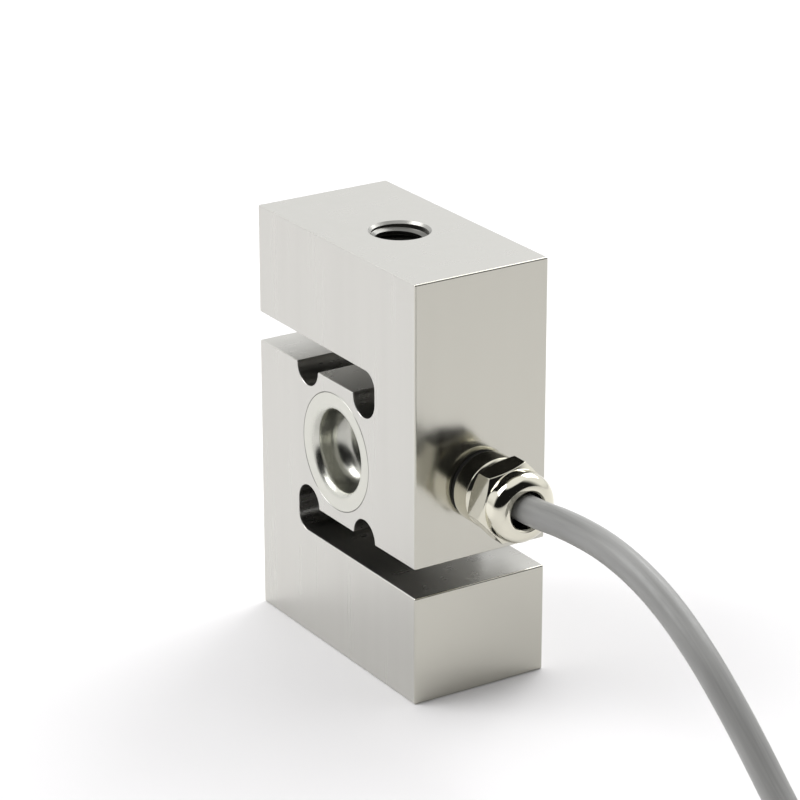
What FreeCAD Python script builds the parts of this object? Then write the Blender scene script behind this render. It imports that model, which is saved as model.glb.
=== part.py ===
"""S-shaped load cell: a slotted steel block with a sealed gauge cavity, a cable gland and its lead.

A pull or a push between the two tapped holes shears the thin web in the middle of the block.
Strain gauges on both sides of the web read it, two welded cups seal them in, and a gland leads
the wires out to a cable, folded into a tied hank, with bare wire ends.

Millimetres. The origin is the centre of the bottom face, +Z is up along the load line, +X points
to the cable gland and -Y is the front, where the slots read as an S.
"""
import FreeCAD, Part
import math
import os
import Sketcher

V = FreeCAD.Vector
ROOT = "sheet."

DIMENSIONS = {
    # the block
    "block_height": (76.2, "base face to top face"),
    "block_width": (50.8, "closed side to closed side"),
    "block_thick": (26.5, "front face to rear face"),
    "edge_break": (0.3, "chamfer on the block's outer edges"),
    "slot_height": (5.28, "gap of each slot"),
    "slot_inner": (12.95, "middle of the block to the near face of each slot"),
    "slot_end": (12.65, "middle of the block to the closed end of each slot"),
    "slot_corner": (2.9, "rounding of the slot's outer end corner"),
    "notch_radius": (3.45, "round relief notches on the slot's inner face"),
    "web_thick": (2.5, "shear web left between the two cavities"),
    "cavity_radius": (9.4, "gauge cavity bored from each side"),
    "tap_radius": (4.25, "tap drill of the load threads"),
    "tap_mouth": (5.45, "outer radius of the tapped holes' countersink"),
    "tap_depth": (15.0, "full bore of the tapped holes"),
    "drill_point": (2.5, "height of the drill's cone below the full bore"),
    "passage_radius": (3.0, "wire passage from the gland seat to the cavities"),
    "passage_end": (9.0, "middle of the block to the passage's far end"),
    "seat_depth": (9.0, "threaded seat of the gland in the block's side"),
    # the sealing cups
    "cup_radius": (10.65, "flange of the sealing cup, the weld line"),
    "cup_flange": (0.8, "thickness of the cup's flange"),
    "cup_wall": (0.6, "wall and floor of the cup"),
    "cup_lip": (1.0, "rounded lip of the cup's mouth"),
    "well_radius": (7.2, "inside of the cup's well"),
    "well_depth": (6.4, "front face to the cup's floor"),
    "well_corner": (2.4, "dished corner between the well's wall and floor"),
    "cup_gap": (0.03, "cup flange to its ledge in the block"),
    # gauges and wiring in the cavities
    "gauge_side": (5.6, "side of the square gauge foil"),
    "gauge_thick": (0.15, "gauge foil with its backing"),
    "grid_radius": (1.9, "round shear grid raised on the foil"),
    "strip_length": (9.0, "solder terminal strip"),
    "strip_width": (2.2, "width of the terminal strip"),
    "strip_thick": (0.25, "thickness of the terminal strip"),
    "strip_drop": (5.6, "middle of the web down to the terminals"),
    "bed_thick": (1.0, "adhesive bed under the circuit board"),
    "board_thick": (0.8, "circuit board"),
    "board_top": (3.3, "middle of the web down to the board's straight edge"),
    "board_gap": (0.4, "board rim to the cavity wall"),
    "chip_length": (2.0, "trimming resistor"),
    "chip_width": (1.2, "trimming resistor"),
    "chip_height": (0.5, "trimming resistor"),
    "chip_pitch": (3.0, "spacing of the trimming resistors"),
    "chip_rise": (1.6, "bottom of the cavity up to the trimming resistors"),
    "pad_pitch": (3.0, "spacing of the solder pads that the wires and cores end on"),
    "jumper_radius": (0.12, "enamelled wire from the front terminals to the board"),
    "jumper_rise": (2.15, "middle of the web up to where the fine wires pass its edge"),
    "jumper_step": (0.3, "spacing of the fine wires where they pass the web's edge"),
    "jumper_loop": (1.35, "web to the fine wires' loop on its front"),
    "board_loop": (1.95, "board to the fine wires' loop over it"),
    "core_loop": (1.05, "board to the cores' loops over it"),
    "core_radius": (0.42, "insulated core inside the gland"),
    "core_pitch": (0.95, "spacing of the four cores in a row"),
    "core_row": (1.85, "cores' way past the web, off the middle plane"),
    "plug_start": (1.4, "cavity edge to the sealing plug"),
    "plug_gap": (0.6, "sealing plug to the foot of the gland's seat"),
    # the gland
    "stem_radius": (4.0, "gland thread in the block"),
    "stem_length": (8.0, "gland thread in the block"),
    "stem_bore": (2.7, "hole through the gland body"),
    "washer_thick": (0.8, "sealing washer under the gland"),
    "washer_radius": (6.0, "outside of the sealing washer"),
    "collar_radius": (6.35, "round collar of the gland body"),
    "collar_end": (5.5, "block face to the collar's front"),
    "collar_bevel": (0.5, "bevel on the collar's edges"),
    "neck_radius": (5.1, "male thread under the cap nut"),
    "neck_end": (9.4, "block face to the end of the neck"),
    "neck_bore": (4.2, "socket of the seal and its claw"),
    "nut_start": (5.9, "block face to the cap nut's back"),
    "nut_end": (10.6, "block face to the end of the hexagon"),
    "nut_flats": (12.7, "cap nut across its flats"),
    "nut_chamfer": (0.3, "depth of the chamfer under the hexagon's flats"),
    "nut_slope": (0.6, "length of that chamfer over its depth"),
    "nut_turn": (12.0, "turn of the hexagon about the gland's axis, in degrees"),
    "dome_radius": (6.2, "round nose of the cap nut"),
    "dome_end": (14.3, "block face to the cap nut's mouth"),
    "dome_round": (2.3, "rounding of the nose"),
    "mouth_radius": (3.3, "opening of the cap nut"),
    "mouth_bevel": (0.4, "bevel round the opening"),
    "claw_radius": (4.1, "outside of the clamping claw"),
    "claw_bore": (3.5, "inside of the clamping claw"),
    "claw_end": (12.2, "block face to the tips of the claw"),
    "claw_tip": (3.75, "outside radius at the claw's tips"),
    "claw_slit": (0.6, "slit between two fingers of the claw"),
    "claw_root": (2.0, "back of the claw to the root of its slits"),
    "claw_fingers": (6.0, "number of fingers"),
    "seal_start": (4.6, "block face to the back of the seal"),
    "seal_end": (10.6, "block face to the front of the seal"),
    "thread_relief": (0.3, "end of the neck to the shoulder inside the cap nut"),
    "fit_gap": (0.05, "running clearance of round fits in the gland"),
    # the cable
    "cable_radius": (2.5, "outside of the cable's jacket"),
    "jacket_start": (1.6, "block face to the end of the jacket inside the gland"),
    "exit_run": (12.0, "straight run of the cable before its first bend"),
    "hank_run": (82.0, "straight runs of the put-away hank"),
    "hank_radius": (18.05, "middle of the turns at the hank's ends"),
    "hank_width": (10.1, "two turns side by side"),
    "hank_height": (26.4, "five layers of cable on the tie's thickness"),
    "tie_width": (6.0, "band round one side of the hank"),
    "tie_thick": (0.9, "band round one side of the hank"),
    "tie_corner": (0.6, "rounding inside the band's corners"),
    "tie_head": (5.0, "lock on top of the band, along and across"),
    "tie_head_rise": (3.5, "lock on top of the band"),
    "sleeve_radius": (3.0, "shrink sleeve on the jacket's end"),
    "sleeve_length": (10.0, "shrink sleeve on the jacket's end"),
    "sleeve_over": (2.0, "sleeve's reach past the jacket's end"),
    "lead_radius": (0.6, "insulated wire at the open end"),
    "lead_pitch": (0.75, "offset of each wire from the cable's middle"),
    "drain_radius": (0.3, "bare shield wire at the open end"),
    "tip_radius": (0.4, "tinned strands at the wires' ends"),
    "tip_length": (6.0, "stripped length of the wires' ends"),
}

# Route of the cable from the gland to the hank: chosen by hand. The first two points follow the gland.
CABLE_POINTS = [(51.5, 0.0, 39.9), (64.0, 0.0, 39.9), (76.5, -0.1, 37.0), (88.0, -0.3, 31.2),
                (98.5, -0.3, 23.3), (109.2, -0.5, 14.2), (119.4, -1.4, 7.3), (131.76, -3.53, 5.02)]
HANK_CENTRE = (195.5, 9.85)

# Routes from the hank's centre: onto its first turn, off its last one, and the open end on top of it.
LEAD_IN_POINTS = [(-63.74, -13.38, 5.02), (-55.5, -14.8, 3.5), (-46.5, -20.6, 3.5), (-34.0, -20.6, 3.5)]
LEAD_OUT_POINTS = [(-30.0, 15.5, 23.9), (-50.7, 15.5, 23.9), (-60.4, -1.25, 26.7),
                   (-50.7, -18.05, 29.5), (-31.0, -18.05, 29.5)]
TAIL_POINTS = [(-31.0, -18.05, 29.5), (-12.0, -18.05, 29.5)]
# Each open wire's corner in the cable, across and up, and where it ends on the hank, along and across.
LEADS = {
    "red": (-1, -1, 30.0, -21.2),
    "black": (-1, 1, 33.5, -19.7),
    "green": (1, -1, 27.0, -14.9),
    "white": (1, 1, 25.0, -16.4),
}
DRAIN = (0, 0, 28.5, -18.05)
LEAD_STRAIGHT = 5.0
LEAD_RISE = 0.68
CORE_COLOURS = ("red", "black", "green", "white")


class Size:
    """A length that keeps its value together with the formula that the sheet works it out by."""

    def __init__(self, text, value):
        self.text = text
        self.value = float(value)

    @staticmethod
    def of(thing):
        return thing if isinstance(thing, Size) else Size(repr(float(thing)), thing)

    def __add__(self, other):
        other = Size.of(other)
        return Size(f"({self.text} + {other.text})", self.value + other.value)

    def __sub__(self, other):
        other = Size.of(other)
        return Size(f"({self.text} - {other.text})", self.value - other.value)

    def __mul__(self, other):
        other = Size.of(other)
        return Size(f"({self.text} * {other.text})", self.value * other.value)

    def __truediv__(self, other):
        other = Size.of(other)
        return Size(f"({self.text} / {other.text})", self.value / other.value)

    def __neg__(self):
        return Size(f"(-1 * {self.text})", -self.value)

    __radd__ = __add__
    __rmul__ = __mul__


def make_sheet(doc):
    """Write the driving dimensions into the document's sheet and return them by name."""
    sheet = doc.addObject("Spreadsheet::Sheet", "sheet")
    for row, (name, (value, meaning)) in enumerate(DIMENSIONS.items(), start=1):
        sheet.set(f"A{row}", name)
        sheet.set(f"B{row}", str(value))
        sheet.setAlias(f"B{row}", name)
        sheet.set(f"C{row}", meaning)
    doc.recompute()
    return {name: Size(ROOT + name, sheet.get(name)) for name in DIMENSIONS}


doc = FreeCAD.newDocument("load_cell")
dim = make_sheet(doc)

half_height = dim["block_height"] / 2
half_width = dim["block_width"] / 2
half_thick = dim["block_thick"] / 2
half_web = dim["web_thick"] / 2
gland_root = half_width
mid_height = half_height
ZERO = Size("0", 0)


# ---------------------------------------------------------------- helpers

def bind(thing, **formulas):
    """Tie properties of a document object to the sheet."""
    for name, size in formulas.items():
        thing.setExpression(name, Size.of(size).text)


def place(thing, x=ZERO, y=ZERO, z=ZERO, turn=None, axis=None):
    """Put an object at a place given by the sheet, turned about a fixed axis."""
    if turn is not None:
        thing.Placement = FreeCAD.Placement(V(0, 0, 0), FreeCAD.Rotation(V(*axis), turn))
    for letter, size in zip("xyz", (x, y, z)):
        thing.setExpression(f"Placement.Base.{letter}", Size.of(size).text)


def new_body(label):
    body = doc.addObject("PartDesign::Body", label)
    body.Label = label
    return body


def origin_part(body, role):
    return next(part for part in body.Origin.OriginFeatures if part.Role == role)


def pin(sketch, geometry, end, x=None, y=None):
    """Fix one point of a sketch at sizes from the sheet, measured from the sketch's origin."""
    for size, kind, axis in ((x, "DistanceX", -2), (y, "DistanceY", -1)):
        if size is None:
            continue
        if size is ZERO:
            sketch.addConstraint(Sketcher.Constraint("PointOnObject", geometry, end, axis))
            continue
        index = sketch.addConstraint(Sketcher.Constraint(kind, -1, 1, geometry, end, size.value))
        sketch.setExpression(f"Constraints[{index}]", size.text)


def outline(body, name, plane, points, arcs=None):
    """Draw a closed outline on one of the body's planes.

    points are (x, y) sizes. arcs maps the index of a side to (centre x, centre y, radius), for the
    sides that are round; an end of an arc needs only one of its coordinates, so "x" or "y" as a
    point's third item keeps that one.
    """
    arcs = arcs or {}
    sketch = body.newObject("Sketcher::SketchObject", name)
    sketch.AttachmentSupport = [(origin_part(body, plane), "")]
    sketch.MapMode = "FlatFace"
    count = len(points)
    places = [V(point[0].value, point[1].value, 0) for point in points]
    sides = []
    for side in range(count):
        start, finish = places[side], places[(side + 1) % count]
        if side not in arcs:
            sketch.addGeometry(Part.LineSegment(start, finish), False)
            sides.append((side, 1, 2))
            continue
        centre_x, centre_y, radius = arcs[side][:3]
        centre = V(centre_x.value, centre_y.value, 0)
        first = math.atan2(start.y - centre.y, start.x - centre.x)
        last = math.atan2(finish.y - centre.y, finish.x - centre.x)
        forward = (last - first) % (2 * math.pi) <= math.pi + 1e-6
        if len(arcs[side]) == 4:
            forward = arcs[side][3]
        ends = (first, last) if forward else (last, first)
        circle = Part.Circle(centre, V(0, 0, 1), radius.value)
        sketch.addGeometry(Part.ArcOfCircle(circle, *ends), False)
        sides.append((side, 1, 2) if forward else (side, 2, 1))
    for side, centre in arcs.items():
        pin(sketch, side, 3, centre[0], centre[1])
        index = sketch.addConstraint(Sketcher.Constraint("Radius", side, centre[2].value))
        sketch.setExpression(f"Constraints[{index}]", centre[2].text)
    for side in range(count):
        before = sides[side - 1]
        here = sides[side]
        sketch.addConstraint(Sketcher.Constraint("Coincident", before[0], before[2], here[0], here[1]))
        point = points[side]
        keep = point[2] if len(point) == 3 else "xy"
        pin(sketch, here[0], here[1], point[0] if "x" in keep else None, point[1] if "y" in keep else None)
    return sketch


def circles(body, name, plane, rings):
    """Draw separate circles, each (x, y, radius), on one of the body's planes."""
    sketch = body.newObject("Sketcher::SketchObject", name)
    sketch.AttachmentSupport = [(origin_part(body, plane), "")]
    sketch.MapMode = "FlatFace"
    for number, (x, y, radius) in enumerate(rings):
        sketch.addGeometry(Part.Circle(V(x.value, y.value, 0), V(0, 0, 1), radius.value), False)
        pin(sketch, number, 3, x, y)
        index = sketch.addConstraint(Sketcher.Constraint("Radius", number, radius.value))
        sketch.setExpression(f"Constraints[{index}]", radius.text)
    return sketch


def extrude(body, kind, name, sketch, length=None, middle=False):
    """Pad or pocket a sketch: by a length, or through the whole body where none is given."""
    feature = body.newObject("PartDesign::" + kind, name)
    feature.Profile = sketch
    if length is None:
        feature.Type = "ThroughAll"
    else:
        bind(feature, Length=length)
    if middle:
        feature.SideType = "Symmetric"
    doc.recompute()
    return feature


def turn(body, kind, name, sketch, axis):
    """Revolve a sketch round one of the body's own axes, adding or cutting."""
    feature = body.newObject("PartDesign::" + kind, name)
    feature.Profile = sketch
    feature.ReferenceAxis = (origin_part(body, axis), [""])
    feature.Angle = 360
    doc.recompute()
    return feature


def mirror(body, name, feature, plane):
    """Repeat a feature on the other side of one of the body's planes."""
    copy = body.newObject("PartDesign::Mirrored", name)
    copy.Originals = [feature]
    copy.MirrorPlane = (origin_part(body, plane), [""])
    body.Tip = copy
    doc.recompute()
    return copy


def spin(body, name, feature, axis, occurrences):
    """Repeat a feature evenly round one of the body's axes."""
    copy = body.newObject("PartDesign::PolarPattern", name)
    copy.Originals = [feature]
    copy.Axis = (origin_part(body, axis), [""])
    copy.Angle = 360
    bind(copy, Occurrences=occurrences)
    body.Tip = copy
    doc.recompute()
    return copy


def box(name, length, width, height, x, y, z):
    """A box by its sizes along X, Y and Z and its lowest corner."""
    solid = doc.addObject("Part::Box", name)
    bind(solid, Length=length, Width=width, Height=height)
    place(solid, x, y, z)
    return solid


def rod(name, radius, height, x, y, z, turned=0.0, axis=(1, 0, 0)):
    """A cylinder from its foot at x, y, z, upright or turned about an axis."""
    solid = doc.addObject("Part::Cylinder", name)
    bind(solid, Radius=radius, Height=height)
    place(solid, x, y, z, turned, axis)
    return solid


def combine(kind, label, solids):
    """Fuse or intersect solids into one named sub-part."""
    result = doc.addObject("Part::Multi" + kind, label)
    result.Shapes = solids
    result.Label = label
    return result


def part_feature(label, shape):
    feature = doc.addObject("Part::Feature", label)
    feature.Label = label
    feature.Shape = shape
    return feature


def rounded_path(points, bend=None):
    """Straight runs joined by tangent arcs; bend is the arcs' radius, or as large as the runs allow."""
    points = [V(*point) for point in points]
    edges = []
    radii = []
    start = points[0]
    for before, corner, after in zip(points, points[1:], points[2:]):
        back = before - corner
        ahead = after - corner
        shorter = min(back.Length, ahead.Length)
        half_turn = (math.pi - back.getAngle(ahead)) / 2
        radius = bend or 0.45 * shorter / math.tan(half_turn)
        reach = radius * math.tan(half_turn)
        back.normalize()
        ahead.normalize()
        into, out = corner + back * reach, corner + ahead * reach
        inward = back + ahead
        inward.normalize()
        middle = corner + inward * (radius / math.cos(half_turn) - radius)
        edges.append(Part.LineSegment(start, into).toShape())
        edges.append(Part.Arc(into, middle, out).toShape())
        radii.append(radius)
        start = out
    edges.append(Part.LineSegment(start, points[-1]).toShape())
    return Part.Wire(edges), radii


def tube(label, points, radius, bend=None):
    """A round solid along a path; its volume has to be its section times its length."""
    path, radii = rounded_path(points, bend)
    direction = path.Edges[0].tangentAt(path.Edges[0].FirstParameter)
    section = Part.Wire([Part.Circle(V(*points[0]), direction, radius).toShape()])
    solid = path.makePipeShell([section], True, False)
    if solid.Volume < 0:
        solid.reverse()
    expected = math.pi * radius ** 2 * path.Length
    print(f"{label}: length {path.Length:.1f}, radii {[round(r, 1) for r in radii]},"
          f" volume {solid.Volume / expected:.4f} of section times length")
    if abs(solid.Volume / expected - 1) > 0.02:
        raise RuntimeError(f"{label} isn't a clean tube")
    return solid


def offset(points, shift):
    return [tuple(a + b for a, b in zip(point, shift)) for point in points]


# ---------------------------------------------------------------- the block

def spring_element():
    """The machined block: S slots with relief notches, gauge cavities, load threads, gland seat.

    Its body is drawn about its own centre, so both slots, cavities and threads are turned or
    mirrored copies of one feature.
    """
    body = new_body("spring_element")
    place(body, z=mid_height)
    blank = outline(body, "blank_outline", "XZ_Plane", [
        (-half_width, -half_height), (half_width, -half_height),
        (half_width, half_height), (-half_width, half_height)])
    pad = extrude(body, "Pad", "blank", blank, dim["block_thick"], middle=True)
    edges = [f"Edge{number}" for number in range(1, len(pad.Shape.Edges) + 1)]
    bevel = body.newObject("PartDesign::Chamfer", "edge_breaks")
    bevel.Base = (pad, edges)
    bind(bevel, Size=dim["edge_break"])
    doc.recompute()

    near = -dim["slot_inner"]
    far = near - dim["slot_height"]
    end = -dim["slot_end"]
    notch = dim["notch_radius"]
    corner = dim["slot_corner"]
    open_side = half_width + 2 * dim["edge_break"]
    slot = outline(body, "slot_outline", "XZ_Plane", [
        (end, near, "y"),                                   # outer notch starts at the slot's end
        (end + 2 * notch, near, "y"),
        (-end - 2 * notch, near, "y"),                      # inner notch
        (-end, near, "y"),
        (open_side, near),
        (open_side, far),
        (end + corner, far, "x"),
        (end, far + corner, "y"),
    ], arcs={
        0: (end + notch, near, notch, False),
        2: (-end - notch, near, notch, False),
        6: (end + corner, far + corner, corner),
    })
    lower = extrude(body, "Pocket", "lower_slot", slot, middle=True)
    spin(body, "both_slots", lower, "Y_Axis", 2)

    ledge = dim["cup_radius"] + dim["cup_gap"]
    ledge_face = -half_thick + dim["cup_flange"]
    outside = -half_thick - dim["edge_break"]
    bore = outline(body, "cavity_outline", "XY_Plane", [
        (ZERO, outside), (ledge, outside), (ledge, ledge_face),
        (dim["cavity_radius"], ledge_face), (dim["cavity_radius"], -half_web), (ZERO, -half_web)])
    cavity = turn(body, "Groove", "front_cavity", bore, "Y_Axis")
    mirror(body, "both_cavities", cavity, "XZ_Plane")

    above = half_height + dim["edge_break"]
    mouth = dim["tap_mouth"] + dim["edge_break"]
    tap_foot = half_height - dim["tap_depth"]
    drill = outline(body, "tapped_hole_outline", "XZ_Plane", [
        (ZERO, above), (mouth, above),
        (dim["tap_radius"], half_height - (dim["tap_mouth"] - dim["tap_radius"])),
        (dim["tap_radius"], tap_foot), (ZERO, tap_foot - dim["drill_point"])])
    tapped = turn(body, "Groove", "top_thread", drill, "Z_Axis")
    mirror(body, "both_threads", tapped, "XY_Plane")

    beyond = half_width + dim["edge_break"]
    seat_foot = half_width - dim["seat_depth"]
    seat = outline(body, "gland_seat_outline", "XY_Plane", [
        (beyond, ZERO), (beyond, dim["stem_radius"]), (seat_foot, dim["stem_radius"]),
        (seat_foot, dim["passage_radius"]), (dim["passage_end"], dim["passage_radius"]),
        (dim["passage_end"], ZERO)])
    turn(body, "Groove", "gland_seat", seat, "X_Axis")
    return body


def sealing_cup(label, side):
    """A thin deep-drawn cup, its flange welded flush in the block's face. side is -1 at the front."""
    body = new_body(label)
    face = half_thick * side
    place(body, y=face, z=mid_height, turn=0 if side < 0 else 180, axis=(0, 0, 1))
    wall = dim["cup_wall"]
    well = dim["well_radius"]
    lip = dim["cup_lip"]
    floor = dim["well_depth"]
    corner = dim["well_corner"]
    skin = well + wall
    profile = outline(body, "cup_outline", "XY_Plane", [
        (well + lip, ZERO, "x"),
        (dim["cup_radius"], ZERO),
        (dim["cup_radius"], dim["cup_flange"] - dim["cup_gap"]),
        (skin, dim["cup_flange"] - dim["cup_gap"]),
        (skin, floor - corner, "y"),
        (skin - corner - wall, floor + wall, "x"),
        (ZERO, floor + wall),
        (ZERO, floor),
        (well - corner, floor, "x"),
        (well, floor - corner, "y"),
        (well, lip, "y"),
    ], arcs={
        4: (well - corner, floor - corner, corner + wall),
        8: (well - corner, floor - corner, corner),
        10: (well + lip, lip, lip),
    })
    turn(body, "Revolution", "drawn_cup", profile, "Y_Axis")
    return body


# ---------------------------------------------------------------- gauges and wiring

def strain_gauge(label, side):
    """A foil shear gauge bonded to the middle of the web, with its round grid."""
    thick = dim["gauge_thick"]
    size = dim["gauge_side"]
    low = half_web if side > 0 else -half_web - thick
    foil = box(label + "_foil", size, thick, size, -size / 2, low, mid_height - size / 2)
    grid_foot = half_web if side > 0 else -half_web
    grid = rod(label + "_grid", dim["grid_radius"], 2 * thick, ZERO, grid_foot, mid_height,
               -90.0 if side > 0 else 90.0)
    return combine("Fuse", label, [foil, grid])


def terminal_strip():
    """Solder terminals bonded to the web under the front gauge."""
    length = dim["strip_length"]
    width = dim["strip_width"]
    thick = dim["strip_thick"]
    strip = box("front_terminal_strip", length, thick, width,
                -length / 2, -half_web - thick, mid_height - dim["strip_drop"] - width / 2)
    return strip


def half_round(label, thick, foot):
    """The lower part of a disc that fits the rear cavity, cut straight above."""
    radius = dim["cavity_radius"] - dim["board_gap"]
    disc = rod(label + "_disc", radius, thick, ZERO, foot, mid_height, -90.0)
    cut = box(label + "_cut", 2 * radius, thick, radius, -radius, foot,
              mid_height - dim["board_top"] - radius)
    return combine("Common", label, [disc, cut])


bed_face = half_web + dim["bed_thick"]
board_face = bed_face + dim["board_thick"]


def trim_resistors():
    """Three chip resistors in a row on the board, one node of separate solids."""
    chips = []
    for number in (-1, 0, 1):
        chips.append(box(f"chip_{number + 2}", dim["chip_length"], dim["chip_height"], dim["chip_width"],
                         number * dim["chip_pitch"] - dim["chip_length"] / 2, board_face,
                         mid_height - dim["cavity_radius"] + dim["chip_rise"]))
    return combine("Fuse", "trim_resistors", chips)


def mm(name):
    return dim[name].value


def bridge_wires():
    """Three fine wires from the front terminals, round the web's edge, to the board.

    Each lies flat on its solder joint at both ends, and loops clear of the web between them.
    """
    radius = mm("jumper_radius")
    rise = mm("jumper_rise")
    step = mm("jumper_step")
    terminals = -mm("strip_drop")
    web_edge = math.sqrt(mm("cavity_radius") ** 2 - rise ** 2)
    front = -half_web.value - mm("strip_thick") - radius
    front_loop = -half_web.value - mm("jumper_loop")
    rear = board_face.value + radius
    rear_loop = board_face.value + mm("board_loop")
    beside_web = half_web.value + 0.5
    wires = []
    for number in range(3):
        pad_x = mm("pad_pitch") * (number - 1)
        past_web = web_edge + step * (number + 0.8)
        points = [
            (pad_x, front, terminals - 0.6), (pad_x, front, terminals + 0.4),
            (pad_x, front_loop, terminals + 1.8),
            (past_web, -beside_web, rise), (past_web, beside_web, rise),
            (web_edge - 1.95, rear_loop, rise - step * (2 - number)),
            (pad_x, rear_loop, terminals + 1.0),
            (pad_x, rear, terminals - 0.3), (pad_x, rear, terminals - 0.9)]
        points = offset(points, (0, 0, mid_height.value))
        wires.append(tube(f"bridge_wire_{number + 1}", points, radius, bend=0.3))
    return part_feature("bridge_wires", Part.Compound(wires))


def core_height(number):
    return mid_height.value + mm("core_pitch") * (1.5 - number)


def core(number, colour):
    """One insulated core from the stripped jacket, past the web's edge, to its pad on the board."""
    radius = mm("core_radius")
    jacket_end = gland_root.value + mm("jacket_start")
    seat_foot = gland_root.value - mm("seat_depth")
    height = core_height(number)
    row = mm("core_row")
    loop = board_face.value + mm("core_loop")
    pad_x = mm("pad_pitch") * (number - 1.5)
    pad_y = board_face.value + radius
    pad_z = mid_height.value - mm("board_top") - 0.2
    halfway = (height + pad_z) / 2
    points = [
        (jacket_end, 0, height), (seat_foot + mm("seat_depth") / 2, 0, height),
        (seat_foot + 0.2, row, height), (mm("passage_end") + 0.1, row, height),
        (pad_x + 2.2, loop, height), (pad_x, loop, halfway),
        (pad_x, pad_y, pad_z), (pad_x, pad_y, pad_z - 1.1)]
    return part_feature(f"core_{colour}", tube(f"core_{colour}", points, radius, bend=0.5))


def passage_plug():
    """Moulded plug that seals the wire passage, with a hole for each core."""
    body = new_body("passage_plug")
    inner = dim["cavity_radius"] + dim["plug_start"]
    length = half_width - dim["seat_depth"] - dim["plug_gap"] - inner
    place(body, x=inner, z=mid_height)
    disc = circles(body, "plug_outline", "YZ_Plane", [(ZERO, ZERO, dim["passage_radius"] - dim["fit_gap"])])
    extrude(body, "Pad", "plug", disc, length)
    rings = []
    hole = dim["core_radius"] + dim["fit_gap"] / 2
    for number in range(len(CORE_COLOURS)):
        rings.append((dim["core_row"], dim["core_pitch"] * (1.5 - number), hole))
    holes = circles(body, "core_holes_outline", "YZ_Plane", rings)
    extrude(body, "Pocket", "core_holes", holes, middle=True)
    return body


# ---------------------------------------------------------------- the gland

def gland_piece(label):
    body = new_body(label)
    place(body, x=gland_root, z=mid_height)
    return body


def turned(label, name, points, arcs=None):
    """A piece turned round the gland's axis; x is the distance from the block's face."""
    body = gland_piece(label)
    profile = outline(body, name + "_outline", "XY_Plane", points, arcs)
    turn(body, "Revolution", name, profile, "X_Axis")
    return body


def gland_washer():
    return turned("gland_washer", "washer", [
        (ZERO, dim["stem_radius"] + dim["fit_gap"]), (ZERO, dim["washer_radius"]),
        (dim["washer_thick"], dim["washer_radius"]),
        (dim["washer_thick"], dim["stem_radius"] + dim["fit_gap"])])


def gland_body():
    """Stem for the block's seat, round collar, and the neck that carries the cap nut."""
    stem = dim["stem_radius"] - dim["fit_gap"]
    back = dim["washer_thick"]
    front = dim["collar_end"]
    bevel = dim["collar_bevel"]
    return turned("gland_body", "body_turning", [
        (-dim["stem_length"], dim["stem_bore"]), (-dim["stem_length"], stem),
        (back, stem), (back, dim["collar_radius"] - bevel), (back + bevel, dim["collar_radius"]),
        (front - bevel, dim["collar_radius"]), (front, dim["collar_radius"] - bevel),
        (front, dim["neck_radius"]), (dim["neck_end"], dim["neck_radius"]),
        (dim["neck_end"], dim["neck_bore"]), (dim["seal_start"] - dim["fit_gap"], dim["neck_bore"]),
        (dim["seal_start"] - dim["fit_gap"], dim["stem_bore"])])


def gland_seal():
    """Rubber bush that grips the cable's jacket."""
    bore = dim["cable_radius"] + dim["fit_gap"]
    outside = dim["claw_bore"] - dim["fit_gap"]
    return turned("gland_seal", "bush", [
        (dim["seal_start"], bore), (dim["seal_start"], outside),
        (dim["seal_end"], outside), (dim["seal_end"], bore)])


def gland_claw():
    """Plastic ring with springy fingers between the seal and the cap nut."""
    body = turned("gland_claw", "claw_ring", [
        (dim["seal_start"], dim["claw_bore"]), (dim["seal_start"], dim["claw_radius"]),
        (dim["neck_end"], dim["claw_radius"]), (dim["claw_end"], dim["claw_tip"]),
        (dim["claw_end"], dim["claw_bore"])])
    half = dim["claw_slit"] / 2
    root = dim["seal_start"] + dim["claw_root"]
    past = dim["claw_end"] + dim["claw_slit"]
    whole = body.Shape.Volume
    slit = outline(body, "slit_outline", "XZ_Plane", [
        (root, -half), (past, -half), (past, half), (root, half)])
    cut = extrude(body, "Pocket", "slit", slit, dim["claw_radius"] + dim["claw_slit"])
    if body.Shape.Volume > whole - 0.1:
        raise RuntimeError("the slit cut nothing")
    spin(body, "fingers", cut, "X_Axis", dim["claw_fingers"])
    return body


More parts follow.
